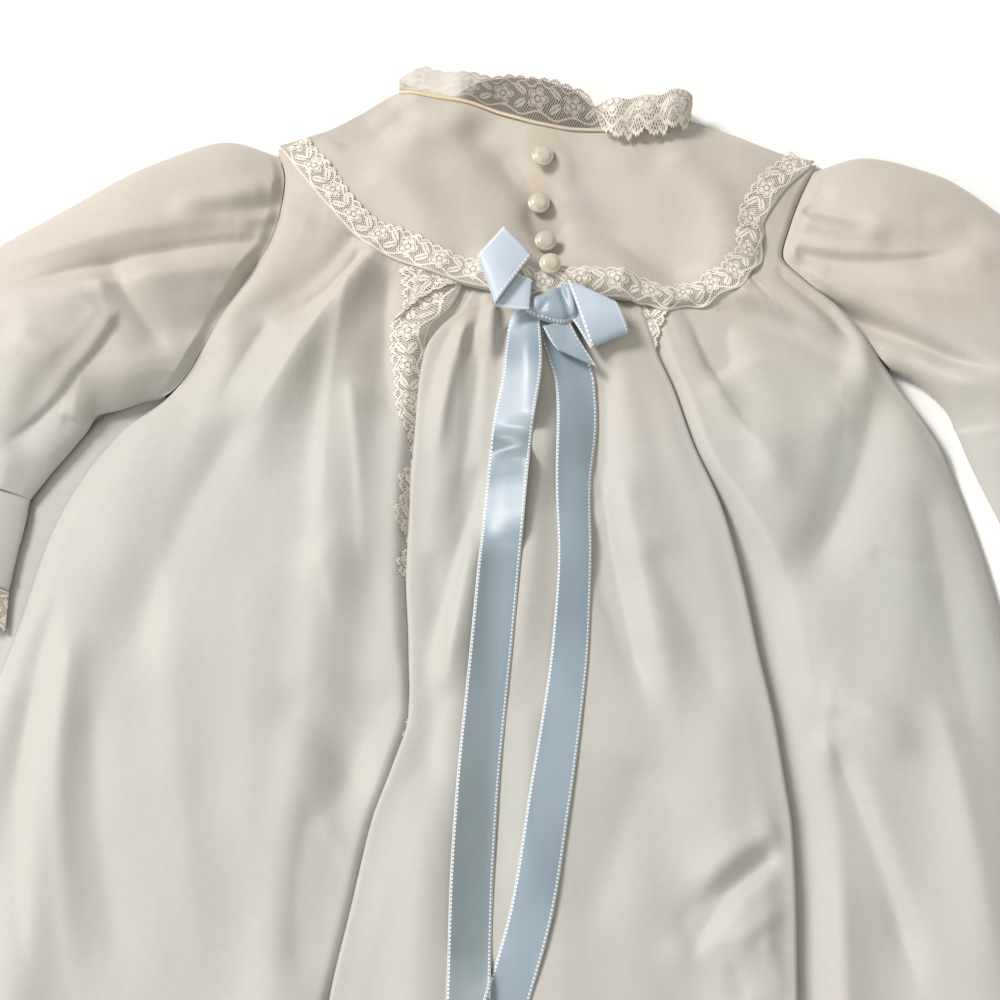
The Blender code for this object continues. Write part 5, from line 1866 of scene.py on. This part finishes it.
    def neck_lace(self) -> None:
        """Ring of lace at the neck, turned down over the yoke on one side."""
        front, back, rows = 260, 60, 26
        t = np.linspace(0.0, 1.0, front)
        fx, fy = along(NECK_LINE, t)
        turned = ease((t - 0.63) / 0.10) * ease((1.03 - t) / 0.06)
        reach = smooth_line(NECK_REACH["t"], NECK_REACH["reach"], t)
        fz = self.top(fx, fy) + 0.2
        lines = []
        for k in np.linspace(0.0, 1.0, rows):
            wave = k * (0.9 * np.sin(t * 9 * np.pi) + 0.7 * np.sin(t * 21 + 1))
            up_y = fy + 0.4 + reach * k * (0.98 + 0.03 * np.sin(t * 37))
            up_z = fz + 3.5 * np.sin(k * np.pi / 2) + wave
            ruffle = np.sin(t * 62) * k
            over = np.interp(k, NECK_TURN["k"], NECK_TURN["y"])
            over_z = np.interp(k, NECK_TURN["k"], NECK_TURN["z"])
            y = up_y + (fy + 0.4 + over + 0.8 * ruffle - up_y) * turned
            z = up_z + (fz + over_z + 0.9 * ruffle - up_z) * turned
            lines.append(np.stack([fx + turned * 0.9 * np.cos(t * 50) * k, y, z], -1))
        front_part = np.array(lines)
        front_part[1:] = self.bed.clear(front_part[1:], 0.35, 2, 0.3)
        # The back of the ring lies low behind the neck, where the lace's finish paints it as the
        # shadow of the gown's inside.
        s = np.linspace(1.0, 0.0, back + 2)[1:-1]
        bx = fx[0] + (fx[-1] - fx[0]) * s
        by = smooth_line(BACK_NECK["x"], BACK_NECK["y"], bx) + 0.9
        over = np.maximum(np.interp(bx, NECK_BACK["x"], NECK_BACK["y"]), by + 8.0)
        back_part = np.array(
            [
                np.stack([bx, by - 7.0 + (over - by + 7.0) * k, 1.4 - 0.8 * k + 0 * bx], -1)
                for k in np.linspace(0.0, 1.0, rows)
            ]
        )
        points = np.concatenate([front_part, back_part, front_part[:, :1]], axis=1)
        sew_lace(
            self.finishes, "neck_lace_net", "cream_neck_lace", points,
            ring_chart(points, self.neck_lace_width), Cut(self.neck_lace_width * MM, 0.26),
            "yoke_front_cloth", "neck_lace", neck_shade=True, ring=True,
        )

    def build(self) -> None:
        """Makes the yoke."""
        self.back()
        self.front()
        self.band()
        self.binding()
        self.neck_lace()


@dataclass
class Sleeve:
    """Long puffed sleeve with its cuff and wrist lace."""

    side: Side
    sections: Table
    folds: Table
    fine: Table
    shift: float
    finishes: Finishes
    rows: int = 170
    top_count: int = 116
    low_count: int = 16
    wall: float = 0.45
    cuff_length: float = 38.0
    lace_length: float = 16.0

    def section(self, width: float, height: float) -> tuple[Grid, Grid, Grid]:
        """Flattened tube: place across, height, and 1 on its upper side.

        Args:
            width: width of the tube.
            height: its height in the middle.

        Returns:
            The three, round the tube.
        """
        t = (1 - np.cos(np.linspace(0.0, np.pi, self.top_count + 2)[1:-1])) / 2
        edge = min(0.42 * height, 4.0)
        top = edge + (height - edge) * (1 - np.abs(2 * t - 1) ** 2.6) ** 0.75
        low = np.linspace(1 - 4.5 / width, 4.5 / width, self.low_count)
        place = np.concatenate([[0.0], t, [1.0, 1 - 1.3 / width], low, [1.3 / width]])
        rise = np.concatenate([[edge], top, [edge, 1.6], np.full(self.low_count, 0.75), [1.6]])
        upper = np.concatenate([[0.0], np.ones(self.top_count), np.zeros(3 + self.low_count)])
        return place, rise, upper

    def puff(self) -> None:
        """The sleeve itself, gathered at the armhole and at the cuff."""
        keys = np.arange(len(self.sections["top_x"]))
        at = np.linspace(0, 1, self.rows) ** 1.15 * keys[-1]
        row = {key: smooth_line(keys, column, at) for key, column in self.sections.items()}
        first = {key: column[0] for key, column in self.sections.items()}
        grid, marks = [], []
        for i in range(self.rows):
            top = np.array([row["top_x"][i], row["top_y"][i]])
            low = np.array([row["low_x"][i], row["low_y"][i]])
            width = np.linalg.norm(low - top)
            place, rise, upper = self.section(width, row["height"][i])
            x = top[0] + (low[0] - top[0]) * place
            y = top[1] + (low[1] - top[1]) * place
            line_y = first["top_y"] + (first["low_y"] - first["top_y"]) * place
            line_x = first["top_x"] + (first["low_x"] - first["top_x"]) * place
            bow = outline(self.side.word, line_y) + self.side.value * 0.2 - line_x
            x = x + bow * row["follow"][i] * (1 - place**60)
            grid.append(np.stack([x, y, rise], -1))
            marks.append(np.stack([place, upper], -1))
        points, marks = np.array(grid), np.array(marks)
        place, upper = marks[..., 0], marks[..., 1]
        x, y, rise = points[..., 0], points[..., 1], points[..., 2]
        run = lengths(points, 0)
        from_armhole = run
        from_cuff = run[-1:] - run
        shown = upper * np.sin(np.pi * np.clip(place, 0, 1)) ** 0.5
        shape = creases(self.folds, x, y) + creases(self.fine, x, y, True)
        arm = place * 105.0
        shape = shape + gathers(arm, from_armhole, 6.0, 0.6, 6.0)
        shape = shape + gathers(arm + 30, from_armhole, 13.0, 0.7, 14.0)
        shape = shape + gathers(place * 52.0, from_cuff, 5.0, 0.6, 7.0)
        shape = shape + 1.5 * drift(x, y, 30.0, 1.3, 12.0 * self.side.value)
        z = np.where(upper > 0, np.maximum(rise + shape * shown, 2.6), rise)
        seam = outline("edge", y) + 0.2
        sewn = 1 - ease(from_armhole / 5.0)
        z = np.where(upper > 0, z + (np.minimum(z, seam) - z) * sewn, z)
        points[..., 2] = z
        points = np.concatenate([points, points[:, :1]], axis=1)
        self.sew(f"sleeve_{self.side.word}", points, Cut(0.26, 0.24, "gathered", 0.04))

    def sew(self, node: str, points: Grid, cut: Cut) -> None:
        """Makes a tube of cloth that stands for a CAD node.

        Args:
            node: the node.
            points: rows along the tube and columns round it.
            cut: how it was cut.
        """
        chart, cloth = cloth_chart(points), self.finishes.cloth
        piece = sewn_piece(node + "_cloth", points, chart, cloth, self.wall, ring=True)
        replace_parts(piece, node)
        declare(piece, cut)

    def tube(
        self, first: tuple[Grid, Grid], last: tuple[Grid, Grid], height: float, rows: int, wave: float
    ) -> Grid:
        """Straight flattened tube between two edge lines.

        Args:
            first: top and low end of its first line.
            last: the same of its last line.
            height: its height in the middle.
            rows: how many lines it has.
            wave: height of the ripple at its last line.

        Returns:
            Rows along the tube and columns round it.
        """
        grid = []
        for k in np.linspace(0.0, 1.0, rows):
            top = first[0] + (last[0] - first[0]) * k
            low = first[1] + (last[1] - first[1]) * k
            place, rise, upper = self.section(float(np.linalg.norm(low - top)), height)
            x = top[0] + (low[0] - top[0]) * place
            y = top[1] + (low[1] - top[1]) * place
            ripple = wave * k * np.sin(place * 17.3 + 0.6 * np.sin(place * 40))
            settled = 0.5 * drift(x, y, 16.0, 1.0, 3.0 * self.side.value)
            rise = rise + upper * (ripple + settled * min(1.0, 4 * k * (1 - k) + wave))
            grid.append(np.stack([x, y, np.maximum(rise, 0.6)], -1))
        points = np.array(grid)
        return np.concatenate([points, points[:, :1]], axis=1)

    def cuff(self) -> None:
        """Deep cuff and the lace at the wrist."""
        top = np.array([self.sections["top_x"][-1], self.sections["top_y"][-1]])
        low = np.array([self.sections["low_x"][-1], self.sections["low_y"][-1]])
        axis = np.array([self.shift, -1.0]) / np.hypot(self.shift, 1.0)
        start = (top - axis * 0.9, low - axis * 0.9)
        length = self.cuff_length + 1.1
        end = (start[0] + axis * length, start[1] + axis * length)
        points = self.tube(start, end, 9.0, 28, 0.0)
        self.sew(f"cuff_{self.side.word}", points, Cut(0.11, 0.038))
        out = (low - top) / np.linalg.norm(low - top) * 2.0
        start = (end[0] + axis * 0.3, end[1] + axis * 0.3)
        last = (
            start[0] + axis * self.lace_length - out,
            start[1] + axis * self.lace_length + out,
        )
        points = self.tube(start, last, 8.2, 14, 1.0)
        name = f"cuff_lace_{self.side.word}"
        sew_lace(
            self.finishes, name + "_net", "cream_cuff_lace", points,
            ring_chart(points, self.lace_length), Cut(self.lace_length * MM, 0.115), node=name,
            ring=True,
        )

    def build(self) -> None:
        """Makes the sleeve, cuff and lace."""
        self.puff()
        self.cuff()


@dataclass
class Bow:
    """Ribbon bow at the yoke's lower edge, with two long ends."""

    finishes: Finishes
    bed: Bed
    width: float = 16.0
    wall: float = 0.3
    columns: int = 17

    def ribbon(
        self, name: str, points: Grid, held: str, length: float, *nodes: str
    ) -> None:
        """Makes a length of ribbon.

        Args:
            name: the piece's name.
            points: rows along and columns across.
            held: how the ribbon is held.
            length: its cut length, in metres.
            nodes: the CAD nodes it stands for.
        """
        across = np.linspace(0.0, self.width, points.shape[1])
        chart = strip_chart(points, across, points.shape[1] // 2)
        piece = sewn_piece(name, points, chart, self.finishes.ribbon, self.wall)
        if nodes:
            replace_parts(piece, *nodes)
        self.bed.add(points)
        area = self.width * MM * length
        cut = Cut(self.width * MM, length, held, None if nodes else 0.45 * area)
        declare(piece, cut, "skirt_front_center_cloth")

    def tail(self, name: str, line: Table, waves: Table, node: str) -> None:
        """Long end lying down the centre panel, with soft waves.

        Args:
            name: the piece's name.
            line: middle and half width, down the ribbon.
            waves: tilt and lift, down the ribbon.
            node: the CAD node that it stands for.
        """
        rows = 260
        y = np.linspace(line["y"][0], line["y"][-1], rows)[:, None]
        x = smooth_line(line["y"], line["x"], y)
        half = smooth_line(line["y"], line["half"], y)
        slope = np.gradient(x[:, 0], y[:, 0])[:, None]
        s = np.linspace(-1.0, 1.0, self.columns)[None, :]
        px = x + s * half / np.hypot(1.0, slope)
        py = y - s * half * slope / np.hypot(1.0, slope)
        cut = ease((line["y"][-1] + 9.0 - y) / 9.0)
        py = py + cut * s * 2.5
        tilt = smooth_line(waves["y"], waves["tilt"], y)
        lift = smooth_line(waves["y"], waves["lift"], y) + tilt * s + np.abs(tilt) * 0.7
        points = self.bed.lay(Strip(px, py, lift + 0.3 * (1 - s**2)), 0.55, 0.4, 6)
        self.ribbon(name, points, "laid", 0.37, node)

    def strip(self, rows: Table, count: int, crown: float, base: float) -> Grid:
        """Short length of ribbon through rows of edge points, with rounded folds.

        Args:
            rows: the two edges, their rise and crown.
            count: how many rows the ribbon has.
            crown: height of a crown of 1.
            base: height that the rise starts from.

        Returns:
            Rows along the ribbon and columns across it.
        """
        keys = np.arange(len(rows["ax"]))
        at = np.linspace(0, keys[-1], count)
        edge = {key: smooth_line(keys, column, at)[:, None] for key, column in rows.items()}
        t = np.linspace(0.0, 1.0, self.columns)[None, :]
        x = edge["ax"] + (edge["bx"] - edge["ax"]) * t
        y = edge["ay"] + (edge["by"] - edge["ay"]) * t
        z = base + edge["rise"] + crown * (1 - (2 * t - 1) ** 2) * edge["crown"]
        return np.stack([x, y, z], -1)

    def knot(self, base: float) -> None:
        """Band wrapped over the knot, with the creases that its pull gives.

        Args:
            base: height of what lies under it.
        """
        u = np.linspace(-1.0, 1.0, 46)[:, None]
        v = np.linspace(-1.0, 1.0, 40)[None, :]
        top_y = smooth_line(KNOT["u"], KNOT["top"], u)
        low_y = smooth_line(KNOT["u"], KNOT["low"], u)
        x = 8.0 + 10.6 * u - 0.96 * v * (1 - u**2)
        y = (top_y + low_y) / 2 + (top_y - low_y) / 2 * v
        dome = (1 - np.abs(u) ** 3.2) ** 0.5 * (1 - np.abs(v) ** 4) ** 0.45
        z = base + 5.6 * dome
        pull = 0.4 + 0.6 * ease((v + 0.6) / 1.2)
        z = z - 1.5 * np.exp(-(((u * 10.6 - 5.0 + 1.8 * v) / 1.3) ** 2)) * pull
        z = z - 1.1 * np.exp(-(((u * 10.6 + 3.0 - 3.4 * v) / 1.5) ** 2)) * ease((0.5 - v) / 1.0)
        z = z + 0.9 * np.exp(-(((u * 10.6 - 8.0 + 1.4 * v) / 1.4) ** 2)) * (1 - v**4)
        points = np.stack([x + 0 * z, y + 0 * z, z], -1)
        self.ribbon("bow_knot_band", points, "folded", 0.024, "bow_knot")

    def build(self) -> None:
        """Makes the two ends, the wings and the knot."""
        self.tail("ribbon_end_left", LEFT_TAIL, LEFT_WAVES, "ribbon_tail_left")
        self.tail("ribbon_end_right", RIGHT_TAIL, RIGHT_WAVES, "ribbon_tail_right")
        under = self.bed.top(np.array([-6.0, 7.0, 20.0]), np.array([262.0, 258.0, 256.0]))
        base = float(under.max())
        LOG.info("bow base %.1f", base)
        for name, rows, node in (
            ("ribbon_twist_right", TWIST, None),
            ("bow_wing_left_ribbon", LEFT_WING, "bow_wing_left"),
            ("bow_wing_right_ribbon", RIGHT_WING, "bow_wing_right"),
        ):
            points = self.strip(rows, 70, 0.5, base + 0.6)
            if node is None:
                self.ribbon(name, points, "folded", 0.03)
            else:
                self.ribbon(name, self.lifted(points), "folded", 0.05, node)
        self.knot(base + 1.6)

    def lifted(self, points: Grid) -> Grid:
        """Wing raised as a whole until it clears what lies under it.

        Args:
            points: the wing.

        Returns:
            The raised wing.
        """
        need = self.bed.top(points[..., 0], points[..., 1]) + 0.35 - points[..., 2]
        under = need[: points.shape[0] // 2]
        points = points.copy()
        points[..., 2] += max(float(under.max()), 0.0)
        return points


@dataclass
class Buttons:
    """Four pearl buttons down the yoke's centre front."""

    finishes: Finishes
    bed: Bed
    diameter: float = 9.0
    height: float = 3.2

    def build(self) -> None:
        """Turns each button from a half profile."""
        half = self.diameter / 2
        profile = (
            (0.0, 1.0), (0.3, 0.985), (0.55, 0.93), (0.72, 0.83), (0.80, 0.70), (0.85, 0.66),
            (0.92, 0.68), (0.98, 0.58), (1.0, 0.42), (0.97, 0.24), (0.86, 0.1), (0.0, 0.06),
        )
        for n, (x, y) in enumerate(zip(BUTTONS["x"], BUTTONS["y"]), start=1):
            spread = np.linspace(-0.4, 0.4, 5) * self.diameter
            base = float(self.bed.top(x + spread[None, :], y + spread[:, None]).max()) + 0.2
            work = bmesh.new()
            last = None
            for share, level in profile:
                spot = row_points(np.array([x + half * share, y, base + self.height * level]))
                vertex = work.verts.new(spot)
                if last is not None:
                    work.edges.new((last, vertex))
                last = vertex
            bmesh.ops.spin(
                work,
                geom=work.verts[:] + work.edges[:],
                cent=row_points(np.array([x, y, 0.0])),
                axis=(0.0, 0.0, 1.0),
                angle=2 * np.pi,
                steps=40,
                use_merge=True,
            )
            bmesh.ops.remove_doubles(work, verts=work.verts, dist=1e-6)
            bmesh.ops.recalc_face_normals(work, faces=work.faces)
            if work.calc_volume(signed=True) < 0:
                bmesh.ops.reverse_faces(work, faces=work.faces)
            for face in work.faces:
                face.smooth = True
            mesh = bpy.data.meshes.new(f"button_{n}_pearl")
            work.to_mesh(mesh)
            work.free()
            mesh.materials.append(self.finishes.pearl)
            piece = placed(mesh.name, mesh)
            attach(piece, "root")
            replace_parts(piece, f"button_{n}")


@dataclass(frozen=True)
class Lamp:
    """Soft square light: its place and side in metres, its power in watts."""

    name: str
    place: Place
    size: float
    power: float
    colour: Colour


@dataclass
class Studio:
    """Camera, floor and soft light."""

    view: View = PHOTO
    sensor: float = 36.0
    lit: Place = (0.0, 0.1, 0.0)
    window: Lamp = Lamp("window", (-2.35, 1.6, 2.5), 1.1, 124.0, (1.0, 0.968, 0.95))
    fill: Lamp = Lamp("fill", (-1.2, -1.4, 1.7), 1.6, 15.0, (1.0, 0.985, 0.96))
    sky: Colour = (1.0, 0.985, 0.90)
    sky_strength: float = 0.45
    floor_half: float = 3.0
    floor_drop: float = 0.0006

    def camera(self) -> None:
        """Camera at the photograph's angle."""
        side, top, back = self.view.axes()
        data = bpy.data.cameras.new("camera")
        data.sensor_width = self.sensor
        data.lens = self.sensor / 2 / self.view.half_view
        camera = placed("camera", data)
        place = Vector(row_points(self.view.target)) + back * self.view.distance * MM
        turn = Matrix((side, top, back)).transposed().to_4x4()
        camera.matrix_world = Matrix.Translation(place) @ turn
        bpy.context.scene.camera = camera

    def lamp(self, lamp: Lamp) -> None:
        """Soft square light that looks at the gown.

        Args:
            lamp: the light.
        """
        data = bpy.data.lights.new(lamp.name, "AREA")
        data.shape = "SQUARE"
        data.size, data.energy, data.color = lamp.size, lamp.power, lamp.colour
        light = placed(lamp.name, data)
        aim = Vector(self.lit) - Vector(lamp.place)
        turn = aim.to_track_quat("-Z", "Y").to_matrix().to_4x4()
        light.matrix_world = Matrix.Translation(lamp.place) @ turn

    def floor(self) -> None:
        """Plain pale floor."""
        work = bmesh.new()
        bmesh.ops.create_grid(work, x_segments=4, y_segments=4, size=self.floor_half)
        mesh = bpy.data.meshes.new("floor")
        work.to_mesh(mesh)
        work.free()
        mesh.transform(Matrix.Translation((0.0, 0.0, -self.floor_drop)))
        mesh.materials.append(FloorFinish().material("pale_floor"))
        placed("floor", mesh)

    def build(self) -> None:
        """Sets the scene's light, floor and camera."""
        self.camera()
        self.floor()
        self.lamp(self.window)
        self.lamp(self.fill)
        world = bpy.data.worlds.new("soft_room")
        world.use_nodes = True
        sky = world.node_tree.nodes["Background"]
        sky.inputs["Color"].default_value = (*self.sky, 1.0)
        sky.inputs["Strength"].default_value = self.sky_strength
        bpy.context.scene.world = world
        bpy.context.scene.view_settings.view_transform = "Standard"


def main() -> None:
    """Builds the gown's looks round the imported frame."""
    logging.basicConfig(level=logging.INFO, format="%(name)s: %(message)s")
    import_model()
    Studio().build()
    finishes = make_finishes()
    bed = Bed()
    Skirt(finishes, bed).build()
    Yoke(finishes, bed).build()
    Sleeve(Side.LEFT, LEFT_SLEEVE, LEFT_SLEEVE_FOLDS, LEFT_SLEEVE_FINE, -0.13, finishes).build()
    Sleeve(Side.RIGHT, RIGHT_SLEEVE, RIGHT_SLEEVE_FOLDS, RIGHT_SLEEVE_FINE, 0.18, finishes).build()
    Bow(finishes, bed).build()
    Buttons(finishes, bed).build()


if __name__ == "__main__":
    main()
